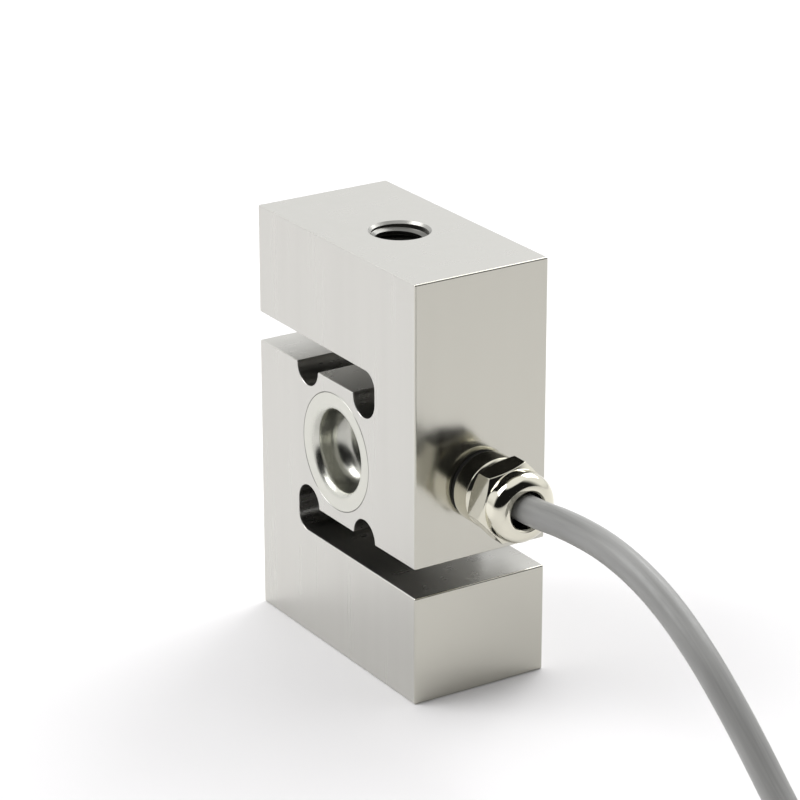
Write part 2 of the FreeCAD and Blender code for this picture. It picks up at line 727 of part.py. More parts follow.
def gland_cap_nut():
    """Hexagon and round nose in one piece; it presses the claw and the seal onto the cable."""
    body = new_body("gland_cap_nut")
    back = dim["nut_start"]
    place(body, x=gland_root + back, z=mid_height, turn=mm("nut_turn"), axis=(1, 0, 0))
    corner = dim["nut_flats"] * (1 / math.sqrt(3))
    length = dim["nut_end"] - back
    front = dim["dome_end"] - back
    nose = dim["dome_radius"]
    rounding = dim["dome_round"]
    directions = [math.radians(60 * k) for k in range(6)]
    hexagon = outline(body, "hexagon_outline", "YZ_Plane", [
        (corner * math.cos(a), ZERO if k % 3 == 0 else corner * math.sin(a))
        for k, a in enumerate(directions)])
    extrude(body, "Pad", "hexagon", hexagon, length)
    ring = dim["nut_flats"] / 2 - dim["nut_chamfer"]
    over = corner + dim["nut_chamfer"]
    reach = (over - ring) * dim["nut_slope"]
    for name, face, edge in (("front_chamfer", length, length - reach), ("back_chamfer", ZERO, reach)):
        wedge = outline(body, name + "_outline", "XY_Plane", [(face, ring), (face, over), (edge, over)])
        turn(body, "Groove", name, wedge, "X_Axis")
    profile = outline(body, "nose_outline", "XY_Plane", [
        (length / 2, ZERO), (length / 2, nose), (front - rounding, nose, "x"),
        (front, nose - rounding, "y"), (front, ZERO)],
        arcs={2: (front - rounding, nose - rounding, rounding)})
    turn(body, "Revolution", "nose", profile, "X_Axis")
    thread = dim["neck_radius"] + dim["fit_gap"]
    shoulder = dim["neck_end"] - back + dim["thread_relief"]
    tips = dim["claw_end"] - back + dim["fit_gap"]
    mouth = dim["mouth_radius"]
    bevel = dim["mouth_bevel"]
    bore = outline(body, "bore_outline", "XY_Plane", [
        (-dim["nut_slope"], ZERO), (-dim["nut_slope"], thread), (shoulder, thread),
        (shoulder, dim["claw_radius"] + 2 * dim["fit_gap"]), (tips, dim["claw_tip"] + dim["fit_gap"]),
        (tips, mouth), (front - bevel, mouth), (front + bevel, mouth + 2 * bevel),
        (front + bevel, ZERO)])
    turn(body, "Groove", "stepped_bore", bore, "X_Axis")
    return body


# ---------------------------------------------------------------- the cable

def cable_run():
    """The jacketed cable from inside the gland to the hank on the floor."""
    height = mid_height.value
    start = gland_root.value + mm("jacket_start")
    points = [(start, 0.0, height), (start + mm("exit_run"), 0.0, height)] + CABLE_POINTS
    return part_feature("cable_run", tube("cable_run", points, mm("cable_radius")))


def on_hank(points):
    return offset(points, (*HANK_CENTRE, 0.0))


def hank_turns():
    """The outer shape of the hank's turns: a rounded section carried round two runs and two half rings."""
    run, radius = mm("hank_run") / 2, mm("hank_radius")
    corners = [V(-run, -radius, 0), V(run, -radius, 0), V(run, radius, 0), V(-run, radius, 0)]
    path = Part.Wire([
        Part.LineSegment(corners[0], corners[1]).toShape(),
        Part.Arc(corners[1], V(run + radius, 0, 0), corners[2]).toShape(),
        Part.LineSegment(corners[2], corners[3]).toShape(),
        Part.Arc(corners[3], V(-run - radius, 0, 0), corners[0]).toShape()])
    soft, top = mm("cable_radius"), mm("hank_height")
    left = -radius - mm("hank_width") / 2 + soft
    right = -radius + mm("hank_width") / 2 - soft
    centres = [(left, soft), (right, soft), (right, top - soft), (left, top - soft)]
    arcs = []
    for quarter, (across, up) in enumerate(centres):
        turned_by = [math.radians(180 + 90 * quarter + step) for step in (0, 45, 90)]
        arcs.append([V(-run, across + soft * math.cos(angle), up + soft * math.sin(angle))
                     for angle in turned_by])
    section = []
    for arc, following in zip(arcs, arcs[1:] + arcs[:1]):
        section.append(Part.Arc(*arc).toShape())
        section.append(Part.LineSegment(arc[-1], following[0]).toShape())
    solid = path.makePipeShell([Part.Wire(section)], True, True)
    if solid.Volume < 0:
        solid.reverse()
    solid.translate(V(*HANK_CENTRE, 0))
    return solid


def cable_hank():
    """The put-away length as one closed solid, with a groove under it for the tie."""
    lead_in = tube("hank_lead_in", on_hank(LEAD_IN_POINTS), mm("cable_radius"))
    lead_out = tube("hank_lead_out", on_hank(LEAD_OUT_POINTS), mm("cable_radius"))
    width = mm("tie_width") + 4 * mm("fit_gap")
    depth = mm("tie_thick") + 2 * mm("fit_gap")
    groove = Part.makeBox(width, mm("hank_radius") + mm("hank_width"), depth,
                          V(HANK_CENTRE[0] - width / 2, HANK_CENTRE[1], 0))
    return part_feature("cable_hank", hank_turns().fuse([lead_in, lead_out]).cut(groove))


def rounded_frame(body, name, left, right, low, high, corner):
    """A rectangle with round corners, across and up."""
    return outline(body, name, "YZ_Plane", [
        (left + corner, low, "x"), (right - corner, low, "x"),
        (right, low + corner, "y"), (right, high - corner, "y"),
        (right - corner, high, "x"), (left + corner, high, "x"),
        (left, high - corner, "y"), (left, low + corner, "y")],
        arcs={1: (right - corner, low + corner, corner), 3: (right - corner, high - corner, corner),
              5: (left + corner, high - corner, corner), 7: (left + corner, low + corner, corner)})


def hank_tie():
    """A band round the hank's rear run, in the groove under it, with its lock on top."""
    body = doc.addObject("PartDesign::Body", "tie_band")
    place(body, HANK_CENTRE[0], HANK_CENTRE[1])
    band = dim["tie_thick"]
    gap = dim["fit_gap"]
    left = dim["hank_radius"] - dim["hank_width"] / 2 - gap
    right = dim["hank_radius"] + dim["hank_width"] / 2 + gap
    low = band + gap
    high = dim["hank_height"] + gap
    corner = dim["tie_corner"]
    outside = rounded_frame(body, "band_outside", left - band, right + band, low - band, high + band,
                            corner + band)
    extrude(body, "Pad", "band", outside, dim["tie_width"], middle=True)
    inside = rounded_frame(body, "band_inside", left, right, low, high, corner)
    extrude(body, "Pocket", "band_opening", inside, dim["tie_width"] * 2, middle=True)
    head = dim["tie_head"]
    lock = box("tie_lock", head, head, dim["tie_head_rise"], Size.of(HANK_CENTRE[0]) - head / 2,
               Size.of(HANK_CENTRE[1]) + dim["hank_radius"] - head / 2, high + band / 2)
    return combine("Fuse", "hank_tie", [body, lock])


def cable_tail():
    """The last of the cable, lying along the top of the hank."""
    return part_feature("cable_tail", tube("cable_tail", on_hank(TAIL_POINTS), mm("cable_radius")))


def end_sleeve():
    """Shrink sleeve over the jacket's end."""
    body = new_body("end_sleeve")
    end_x, end_y, end_z = on_hank(TAIL_POINTS)[-1]
    place(body, Size.of(end_x) + dim["sleeve_over"] - dim["sleeve_length"], end_y, end_z)
    bore = dim["cable_radius"] + dim["fit_gap"]
    skin = outline(body, "sleeve_outline", "XY_Plane", [
        (ZERO, bore), (dim["sleeve_length"], bore),
        (dim["sleeve_length"], dim["sleeve_radius"]), (ZERO, dim["sleeve_radius"])])
    turn(body, "Revolution", "sleeve", skin, "X_Axis")
    return body


def lead_points(across, up, end_x, end_y):
    """A wire from the jacket's end: straight through the sleeve, then down and along on top of the hank.

    The lower wires spread first and the upper ones come down later, so that they pass beside them.
    """
    start_x, start_y, start_z = TAIL_POINTS[-1]
    start_y += across * mm("lead_pitch")
    start_z += up * mm("lead_pitch")
    low = mm("hank_height") + LEAD_RISE
    step = (end_x - start_x - LEAD_STRAIGHT) / 3
    sway = end_y - start_y
    apart, droop = (0.4, 0.25) if up > 0 else (0.7, 0.6)
    points = [
        (start_x, start_y, start_z), (start_x + LEAD_STRAIGHT, start_y, start_z),
        (end_x - 2 * step, start_y + apart * sway, start_z + droop * (low - start_z)),
        (end_x - step, start_y + 0.9 * sway, low), (end_x, end_y, low)]
    return on_hank(points)


def flying_leads():
    """The four insulated wires, their tinned ends and the bare shield wire."""
    pieces = []
    tips = []
    for colour, end in LEADS.items():
        points = lead_points(*end)
        pieces.append(part_feature(f"lead_{colour}", tube(f"lead_{colour}", points, mm("lead_radius"))))
        last, previous = V(*points[-1]), V(*points[-2])
        ahead = (last - previous).normalize() * mm("tip_length")
        tips.append(tube(f"tip_{colour}", [tuple(last), tuple(last + ahead)], mm("tip_radius")))
    drain = tube("shield_drain", lead_points(*DRAIN), mm("drain_radius"))
    pieces.append(part_feature("shield_drain", drain))
    pieces.append(part_feature("lead_tips", Part.Compound(tips)))
    return pieces


# ---------------------------------------------------------------- build, check and write

def check(parts):
    """Stop on any failed object, empty or broken shape, or doubled name."""
    for thing in doc.Objects:
        if "Invalid" in thing.State or "Error" in thing.State:
            raise RuntimeError(f"{thing.Name} failed: {thing.State}")
        if thing.TypeId == "Sketcher::SketchObject" and thing.solve() != 0:
            raise RuntimeError(f"{thing.Name} has no solution")
    labels = [part.Label for part in parts]
    if len(set(labels)) != len(labels):
        raise RuntimeError("two sub-parts share a name")
    for part in parts:
        shape = part.Shape
        if shape.isNull() or not shape.isValid() or not shape.Solids:
            raise RuntimeError(f"{part.Label} has no valid solid")


def main():
    parts = [
        spring_element(),
        sealing_cup("front_sealing_cup", -1),
        sealing_cup("rear_sealing_cup", 1),
        strain_gauge("front_strain_gauge", -1),
        strain_gauge("rear_strain_gauge", 1),
        terminal_strip(),
        half_round("board_bed", dim["bed_thick"], half_web),
        half_round("circuit_board", dim["board_thick"], bed_face),
        trim_resistors(),
        bridge_wires(),
        passage_plug(),
        gland_washer(),
        gland_body(),
        gland_seal(),
        gland_claw(),
        gland_cap_nut(),
        cable_run(),
        cable_hank(),
        hank_tie(),
        cable_tail(),
        end_sleeve(),
    ]
    parts += [core(number, colour) for number, colour in enumerate(CORE_COLOURS)]
    parts += flying_leads()
    doc.recompute()
    check(parts)
    os.makedirs("parts", exist_ok=True)
    for part in parts:
        part.Shape.exportStep(f"parts/{part.Label}.step")
        solids = len(part.Shape.Solids)
        print(f"{part.Label}: {part.Shape.Volume:.2f} mm3, {solids} solid{'s' if solids > 1 else ''}")


main()
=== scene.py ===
"""S-type load cell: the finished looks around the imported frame.

A ground stainless block with two slots, two polished sealing cups, tapped load holes, a
nickel-plated cable gland and its grey lead. Everything is in metres in the frame's own place:
+Z is the load line, -Y the front, +X the side of the gland.
"""
import math

import bmesh
import bpy
import numpy as np
from bpy.props import FloatProperty, FloatVectorProperty, IntProperty, PointerProperty
from bpy.types import Operator, Panel, PropertyGroup
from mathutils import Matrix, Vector


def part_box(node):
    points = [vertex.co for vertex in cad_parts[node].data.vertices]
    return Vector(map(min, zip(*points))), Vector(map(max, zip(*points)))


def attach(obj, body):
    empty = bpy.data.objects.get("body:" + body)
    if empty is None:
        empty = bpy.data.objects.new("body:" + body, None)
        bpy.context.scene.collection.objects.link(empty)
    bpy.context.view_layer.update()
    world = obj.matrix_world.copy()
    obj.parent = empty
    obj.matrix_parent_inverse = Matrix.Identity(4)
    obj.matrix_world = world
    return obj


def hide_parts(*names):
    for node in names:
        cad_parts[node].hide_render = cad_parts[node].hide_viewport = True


bl_info = {
    "name": "S-type load cell",
    "version": (1, 0, 0),
    "blender": (4, 5, 0),
    "location": "3D View > Sidebar > Load cell",
    "description": "Builds a ground steel load cell with its sealing cups, cable gland and lead",
    "category": "Object",
}

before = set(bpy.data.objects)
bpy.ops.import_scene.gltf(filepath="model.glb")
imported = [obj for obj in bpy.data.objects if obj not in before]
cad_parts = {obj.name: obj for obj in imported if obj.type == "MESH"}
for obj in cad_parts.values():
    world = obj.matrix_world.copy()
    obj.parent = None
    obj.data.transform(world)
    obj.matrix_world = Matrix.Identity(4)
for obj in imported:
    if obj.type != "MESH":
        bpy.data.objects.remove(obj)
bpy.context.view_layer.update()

MM = 0.001
BLOCK_LOW, BLOCK_HIGH = (np.array(corner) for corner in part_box("spring_element"))
BLOCK_MIDDLE = (BLOCK_LOW + BLOCK_HIGH) / 2
HALF_WIDTH, HALF_THICK, HALF_HEIGHT = (BLOCK_HIGH - BLOCK_LOW) / 2
GLAND_FOOT = np.array((BLOCK_HIGH[0], 0.0, BLOCK_MIDDLE[2]))
X_AXIS, Y_AXIS, Z_AXIS = np.eye(3)

# The lead's route from the gland to its hank, in metres: the same points as the model's own tube.
CABLE_POINTS = [(0.0270, 0.0, 0.0381), (0.0390, 0.0, 0.0381), (0.0515, 0.0, 0.0399),
                (0.0640, 0.0, 0.0399), (0.0765, -0.0001, 0.0370), (0.0880, -0.0003, 0.0312),
                (0.0985, -0.0003, 0.0233), (0.1092, -0.0005, 0.0142), (0.1194, -0.0014, 0.0073),
                (0.13176, -0.00353, 0.00502)]
HANK_CENTRE = (0.1955, 0.00985)
# From the hank's centre: onto its first turn, off its last one, and the jacket's end on top of it.
LEAD_IN_POINTS = [(-0.0555, -0.0148, 0.0035), (-0.0465, -0.0206, 0.0035)]
LEAD_OUT_POINTS = [(-0.0300, 0.0155, 0.0254), (-0.0495, 0.0153, 0.0279), (-0.0597, -0.00125, 0.0292),
                   (-0.0507, -0.01805, 0.0295), (-0.0310, -0.01805, 0.0295)]
TAIL_END = (-0.0120, -0.01805, 0.0295)
# Each open wire's corner in the cable, across and up, and where it ends on the hank, along and across.
LEADS = {
    "red": (-1, -1, 0.0300, -0.0212),
    "black": (-1, 1, 0.0335, -0.0197),
    "green": (1, -1, 0.0270, -0.0149),
    "white": (1, 1, 0.0250, -0.0164),
}
DRAIN = (0, 0, 0.0285, -0.01805)
# How far an open wire runs straight through the sleeve, and the height it comes down to.
LEAD_STRAIGHT = 0.0050
LEAD_HEIGHT = 0.02708
# How far a cutter stands out of the face that it cuts.
OVER = 0.5 * MM

CAMERA_PLACE = (0.4612, -0.2942, 0.2583)
CAMERA_TURN = (math.radians(90 - 21.30), math.radians(0.07), math.radians(57.44))
CAMERA_LENS = 151.4
# The level direction from the block to the camera.
CAMERA_SIDE = (0.843, -0.538, 0.0)
# Where each softbox stands, and the length of its side.
SOFTBOXES = {"key_softbox": ((-0.30, -0.55, 0.75), 0.55), "rim_softbox": ((-0.25, 0.70, 0.70), 0.60)}
SOFTBOX_AIM = (0.0, 0.0, 0.03)
SOFTBOX_POWER = 3.8
FLOOR_RINGS = (0.0, 0.3, 1.0, 3.0, 8.0)


def linear(text):
    """A colour written as sRGB hex, as the linear red, green, blue and alpha that Blender wants."""
    parts = [int(text[place:place + 2], 16) / 255 for place in (1, 3, 5)]
    lit = [part / 12.92 if part <= 0.04045 else ((part + 0.055) / 1.055) ** 2.4 for part in parts]
    return (*lit, 1.0)


def length(name, millimetres, description):
    """A size that a user can change, given in millimetres."""
    return FloatProperty(name=name, description=description, default=millimetres * MM, unit="LENGTH",
                         precision=5)


def colour(name, text, description):
    """A colour that a user can change, given as sRGB hex."""
    return FloatVectorProperty(name=name, description=description, default=linear(text), size=4,
                               subtype="COLOR", min=0.0, max=1.0)


# ---------------------------------------------------------------- what a user can change

class BlockSizes(PropertyGroup):
    """The slots and edges of the block, the threads and the drawn cups."""

    slot_near: length("Slot's near face", 12.95, "Middle of the block to the slot's face beside the web")
    slot_far: length("Slot's far face", 18.23, "Middle of the block to the slot's face on the arm")
    slot_end: length("Slot's end", 12.65, "Middle of the block to the closed end of the slot")
    slot_corner: length("Slot's corner", 2.9, "Rounding of the slot's outer end corner")
    notch_radius: length("Relief notch", 3.45, "Radius of the relief notches in the slot's near face")
    edge_round: length("Outer edges", 0.3, "Rounding of the block's outer edges")
    slot_edge: length("Slot edges", 0.14, "Rounding of the slots' edges")
    cavity_radius: length("Gauge cavity", 9.4, "Radius of the gauge cavities")
    web_half: length("Half web", 1.25, "Half of the thin web between the cavities")
    ledge_radius: length("Cup ledge", 10.68, "Radius of the ledge that the cup's flange sits in")
    weld_width: length("Weld line", 0.13, "Width of the fine groove between flange and ledge")
    tap_major: length("Thread", 5.0, "Major radius of the load threads")
    tap_minor: length("Tap drill", 4.25, "Minor radius of the load threads")
    tap_pitch: length("Pitch", 1.5, "Pitch of the load threads")
    tap_mouth: length("Countersink", 5.45, "Radius of the countersink at the mouth")
    tap_depth: length("Thread depth", 13.6, "Depth of the full thread")


class CupSizes(PropertyGroup):
    """The drawn sealing cups."""

    flange_radius: length("Flange radius", 10.65, "Outside of the flange")
    flange: length("Flange", 0.77, "Thickness of the flange")
    wall: length("Wall", 0.6, "Wall of the cup")
    lip: length("Lip", 1.6, "Rounding from the flange into the well")
    well_radius: length("Well", 7.2, "Inside radius of the well")
    well_depth: length("Depth", 6.4, "Depth of the well")
    well_corner: length("Corner", 3.2, "Rounding between wall and floor")
    crown: length("Crown", 0.12, "Rise of the floor's middle")


class GlandSizes(PropertyGroup):
    """The turned and milled pieces of the gland, measured from the block's face."""

    stem_radius: length("Stem", 3.95, "Radius of the stem in the block")
    stem_length: length("Stem length", 8.0, "Length of the stem in the block")
    stem_bore: length("Stem bore", 2.7, "Hole through the stem")
    washer: length("Washer", 0.8, "Thickness of the sealing washer")
    washer_radius: length("Washer radius", 6.0, "Outside of the sealing washer")
    collar_radius: length("Collar", 6.35, "Radius of the round collar")
    collar_end: length("Collar's end", 5.5, "Face of the block to the collar's front")
    collar_bevel: length("Collar bevel", 0.5, "Bevel on the collar's edges")
    neck_radius: length("Neck", 5.1, "Radius of the neck under the cap nut")
    neck_end: length("Neck's end", 9.4, "Face of the block to the neck's end")
    neck_bore: length("Neck bore", 4.2, "Socket in the neck")
    seal_start: length("Socket's foot", 4.55, "Face of the block to the socket's foot")
    nut_start: length("Nut's back", 5.9, "Face of the block to the cap nut's back")
    nut_end: length("Hexagon's end", 10.6, "Face of the block to the end of the hexagon")
    nut_flats: length("Across flats", 12.7, "Width of the hexagon across its flats")
    nut_chamfer: length("Nut chamfer", 0.3, "Depth of the turned chamfer under the flats")
    dome_radius: length("Nose", 6.2, "Radius of the cap nut's round nose")
    dome_end: length("Nose's end", 14.3, "Face of the block to the cap nut's mouth")
    dome_round: length("Nose rounding", 2.3, "Rounding of the nose")
    mouth_radius: length("Mouth", 3.3, "Radius of the opening")
    mouth_bevel: length("Mouth bevel", 0.4, "Bevel round the opening")
    edge: length("Edges", 0.1, "Rounding of the turned edges")
    nut_turn: FloatProperty(name="Turn", description="Turn of the hexagon about the gland's axis",
                            default=math.radians(42.0), subtype="ANGLE")


class CableSizes(PropertyGroup):
    """The lead, its hank and its open end."""

    radius: length("Cable", 2.5, "Outside radius of the jacket")
    total: FloatProperty(name="Length", description="Length of the lead", default=2.94, unit="LENGTH")
    hank_run: length("Runs", 82.0, "Length of the hank's straight runs")
    inner_turn: length("Inner turn", 15.5, "Radius of the hank's inner turns at its ends")
    pitch: length("Pitch", 5.1, "Spacing of the turns, beside and above each other")
    first_height: length("First layer", 3.5, "Height of the first layer's middle")
    bow_in: length("Bow inwards", 1.0, "Bow of an inner turn where it climbs")
    bow_out: length("Bow outwards", 2.4, "Bow of an outer turn where it climbs")
    turns: IntProperty(name="Turns", description="Turns of the hank, two a layer", default=10, min=2)
    wire_radius: length("Wire", 0.6, "Radius of an insulated wire")
    wire_offset: length("Wire offset", 0.75, "Offset of each wire from the cable's middle")
    drain_radius: length("Drain wire", 0.3, "Radius of the bare drain wire")
    sleeve_radius: length("Sleeve", 3.0, "Outside radius of the shrink sleeve")
    strand_radius: length("Strand", 0.13, "Radius of one tinned strand")


class Colours(PropertyGroup):
    """The base colours of the finishes."""

    steel: colour("Stainless steel", "#C8C7C2", "Ground stainless steel")
    cup: colour("Polished steel", "#CDCDC5", "Drawn and polished stainless steel")
    nickel: colour("Nickel", "#DCD9CA", "Bright nickel plating on brass")
    jacket: colour("Jacket", "#9E9E9C", "Grey PVC jacket")
    rubber: colour("Rubber", "#232220", "Black nitrile rubber")
    nylon: colour("Nylon", "#161616", "Black polyamide")
    sleeve: colour("Shrink sleeve", "#141414", "Black polyolefin shrink sleeve")
    red: colour("Red wire", "#B3261E", "Red PVC insulation")
    black: colour("Black wire", "#1C1C1C", "Black PVC insulation")
    green: colour("Green wire", "#1E7A3C", "Green PVC insulation")
    white: colour("White wire", "#E4E2DC", "White PVC insulation")
    tin: colour("Tinned copper", "#C9C6BE", "Tinned copper strands")
    foil: colour("Gauge foil", "#B5772B", "Amber polyimide foil")
    board: colour("Circuit board", "#1C6B3F", "Green solder mask")
    bed: colour("Adhesive", "#DEDACF", "White adhesive")
    chip: colour("Chip", "#202124", "Black chip resistors")
    enamel: colour("Enamelled wire", "#9A4A1F", "Enamelled copper")
    floor: colour("Floor", "#F4F3F4", "Pale floor")


class LoadCellSettings(PropertyGroup):
    """All the load cell's sizes and colours."""

    block: PointerProperty(type=BlockSizes)
    cup: PointerProperty(type=CupSizes)
    gland: PointerProperty(type=GlandSizes)
    cable: PointerProperty(type=CableSizes)
    colours: PointerProperty(type=Colours)


# ---------------------------------------------------------------- shapes

def arc(centre, radius, start, end, steps):
    """Points on a circle: centre + radius (cos a, sin a), a running evenly from start to end degrees."""
    angle = np.radians(np.linspace(start, end, steps + 1))
    return np.array(centre) + radius * np.stack([np.cos(angle), np.sin(angle)], -1)


def softened(corners, radius, steps=3):
    """A closed outline with each corner cut by a curve: along a quadratic Bezier arc that leaves and
    meets the sides at the given distance from the corner, or at 0.4 of a shorter side."""
    corners = np.array(corners, float)
    back = np.roll(corners, 1, 0) - corners
    ahead = np.roll(corners, -1, 0) - corners
    back_length = np.linalg.norm(back, axis=1)
    ahead_length = np.linalg.norm(ahead, axis=1)
    reach = np.minimum(radius, 0.4 * np.minimum(back_length, ahead_length))[:, None]
    first = corners + back / back_length[:, None] * reach
    last = corners + ahead / ahead_length[:, None] * reach
    share = np.linspace(0, 1, steps + 1)[None, :, None]
    curve = ((1 - share) ** 2 * first[:, None] + 2 * share * (1 - share) * corners[:, None]
             + share ** 2 * last[:, None])
    return curve.reshape(-1, 2)


def grid_faces(points, round_rows=False, round_columns=False):
    """Quads between neighbours of a rows x columns grid of points, closed on itself where asked."""
    rows, columns = points.shape[:2]
    index = np.arange(rows * columns).reshape(rows, columns)
    if round_rows:
        index = np.vstack([index, index[:1]])
    if round_columns:
        index = np.hstack([index, index[:, :1]])
    return np.stack([index[:-1, :-1], index[:-1, 1:], index[1:, 1:], index[1:, :-1]], -1).reshape(-1, 4)


def new_piece(name, points, faces, sharp=35.0, close=True):
    """A mesh object from points and faces: doubles merged, normals outwards, smooth up to an angle."""
    mesh = bpy.data.meshes.new(name)
    mesh.from_pydata(np.asarray(points, float).reshape(-1, 3).tolist(), [], [list(face) for face in faces])
    if close:
        work = bmesh.new()
        work.from_mesh(mesh)
        bmesh.ops.remove_doubles(work, verts=work.verts, dist=1e-7)
        bmesh.ops.dissolve_degenerate(work, edges=work.edges, dist=1e-8)
        bmesh.ops.recalc_face_normals(work, faces=work.faces)
        work.to_mesh(mesh)
        work.free()
    piece = bpy.data.objects.new(name, mesh)
    bpy.context.scene.collection.objects.link(piece)
    smooth(piece, sharp)
    return piece


def smooth(piece, sharp):
    """Smooth shading, with edges kept sharp above an angle in degrees."""
    piece.data.shade_smooth()
    piece.data.set_sharp_from_angle(angle=math.radians(sharp))


def flat_faces_first(piece):
    """Weigh the normals by area, so that flat faces stay flat beside their rounded edges."""
    weighted = piece.modifiers.new("flat_faces_first", "WEIGHTED_NORMAL")
    weighted.keep_sharp = True


def directions(axis, angle):
    """Unit directions round an axis: cos a * first + sin a * second, where first, second and the axis are
    square to each other and right-handed."""
    first = np.roll(axis, 1)
    return np.cos(angle)[:, None] * first + np.sin(angle)[:, None] * np.cross(axis, first)


def turned(profile, foot, axis, steps):
    """A grid turned round an axis: foot + along * axis + radius * a direction square to the axis."""
    profile = np.asarray(profile, float)
    ring = directions(axis, np.linspace(0, 2 * math.pi, steps, endpoint=False))
    return np.asarray(foot) + profile[:, None, :1] * axis + profile[:, None, 1:] * ring[None]


def turned_piece(name, profile, foot, axis, steps, ring=True):
    """A turned solid. A ring's outline is closed on itself; any other starts and ends on the axis."""
    points = turned(profile, foot, axis, steps)
    return new_piece(name, points, grid_faces(points, round_rows=ring, round_columns=True))


def swept(path, radius, sides):
    """A grid along a path: each point plus radius (cos a * normal + sin a * binormal). The normal is the
    one square to the path and nearest to a fixed direction, which suits gently bent paths."""
    ahead = np.gradient(path, axis=0)
    ahead /= np.linalg.norm(ahead, axis=1, keepdims=True)
    guide = Z_AXIS if np.abs(ahead[:, 2]).max() < 0.9 else X_AXIS
    normal = guide - ahead * (ahead @ guide)[:, None]
    normal /= np.linalg.norm(normal, axis=1, keepdims=True)
    side = np.cross(ahead, normal)
    angle = np.linspace(0, 2 * math.pi, sides, endpoint=False)[None, :, None]
    return path[:, None] + radius * (np.cos(angle) * normal[:, None] + np.sin(angle) * side[:, None])


def capped(points):
    """Faces of a tube whose two ends are closed by a polygon each."""
    rows, columns = points.shape[:2]
    faces = grid_faces(points, round_columns=True).tolist()
    faces.append(list(range(columns)))
    faces.append(list(range((rows - 1) * columns, rows * columns))[::-1])
    return faces


def combine(piece, other, operation):
    """Cut another solid out of a piece, or join it on, and throw the other away."""
    modifier = piece.modifiers.new(operation.lower(), "BOOLEAN")
    modifier.operation = operation
    modifier.solver = "EXACT"
    modifier.object = other
    bpy.context.view_layer.update()
    evaluated = piece.evaluated_get(bpy.context.evaluated_depsgraph_get())
    made = bpy.data.meshes.new_from_object(evaluated)
    piece.modifiers.remove(modifier)
    old, old_other = piece.data, other.data
    piece.data = made
    made.name = piece.name
    bpy.data.objects.remove(other)
    bpy.data.meshes.remove(old)
    bpy.data.meshes.remove(old_other)


def finish_piece(piece, material, slot, *replaced):
    """Give a piece its finish, let it ride on the one body and stand for its CAD nodes."""
    piece.data.materials.clear()
    piece.data.materials.append(material)
    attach(piece, "root")
    if replaced:
        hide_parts(*replaced)
    return piece


# ---------------------------------------------------------------- finishes

def add_node(tree, kind, inputs=None, **settings):
    """Add a node; inputs gives its sockets a value, or the socket that they are linked from."""
    node = tree.nodes.new(kind)
    for name, value in settings.items():
        setattr(node, name, value)
    for name, value in (inputs or {}).items():
        if isinstance(value, bpy.types.NodeSocket):
            tree.links.new(value, node.inputs[name])
        else:
            node.inputs[name].default_value = value
    return node


def new_finish(name, base, metallic, roughness, ior=1.5):
    """A material with its Principled shader, and the piece's own coordinates in metres."""
    material = bpy.data.materials.new(name)
    material.use_nodes = True
    tree = material.node_tree
    shader = next(node for node in tree.nodes if node.type == "BSDF_PRINCIPLED")
    shader.inputs["Base Color"].default_value = base
    shader.inputs["Metallic"].default_value = metallic
    shader.inputs["Roughness"].default_value = roughness
    if metallic < 1:
        shader.inputs["IOR"].default_value = ior
    place = add_node(tree, "ShaderNodeTexCoord").outputs["Object"]
    return material, tree, shader, place


def noise(tree, place, grain, detail=2.0):
    """Noise whose grain is given in metres along X, Y and Z."""
    scaled = add_node(tree, "ShaderNodeMapping", {"Vector": place, "Scale": [1 / size for size in grain]})
    return add_node(tree, "ShaderNodeTexNoise", {
        "Vector": scaled.outputs["Vector"], "Scale": 1.0, "Detail": detail}).outputs["Fac"]


def ranged(tree, value, low, high, first=0.3, last=0.7, **settings):
    """A value from first to last stretched over low to high."""
    node = add_node(tree, "ShaderNodeMapRange", {
        "Value": value, "From Min": first, "From Max": last, "To Min": low, "To Max": high}, **settings)
    return node.outputs["Result"]


def blended(tree, share, one, other):
    """Two colours, or colour sockets, blended by a share."""
    return add_node(tree, "ShaderNodeMix", {0: share, 6: one, 7: other}, data_type="RGBA").outputs[2]


def worked(tree, operation, *values):
    """One sum on numbers or sockets."""
    return add_node(tree, "ShaderNodeMath", dict(enumerate(values)), operation=operation).outputs[0]


def stepped(tree, value, edge, width):
    """A soft step from 0 to 1 that is centred on an edge."""
    return ranged(tree, value, 0.0, 1.0, edge - width / 2, edge + width / 2)


def below(tree, value, edge, width):
    """A soft step from 1 to 0 that is centred on an edge."""
    return worked(tree, "SUBTRACT", 1.0, stepped(tree, value, edge, width))


def distance(tree, one, other):
    """The square root of two numbers' squares added up."""
    squares = [worked(tree, "POWER", part, 2.0) for part in (one, other)]
    return worked(tree, "SQRT", worked(tree, "ADD", *squares))


def bump(tree, shader, height, depth):
    """Raise the surface by a height from 0 to 1 over a depth in metres."""
    made = add_node(tree, "ShaderNodeBump", {"Height": height, "Distance": depth, "Strength": 1.0})
    tree.links.new(made.outputs["Normal"], shader.inputs["Normal"])


def shade(base, share):
    """A colour that is darkened to a share of itself."""
    return (*(part * share for part in base[:3]), 1.0)


def tinted(tree, shader, share, base, darker):
    """Let the base colour fall to a share of itself where the given value is high."""
    tree.links.new(blended(tree, share, tuple(base), shade(base, darker)), shader.inputs["Base Color"])


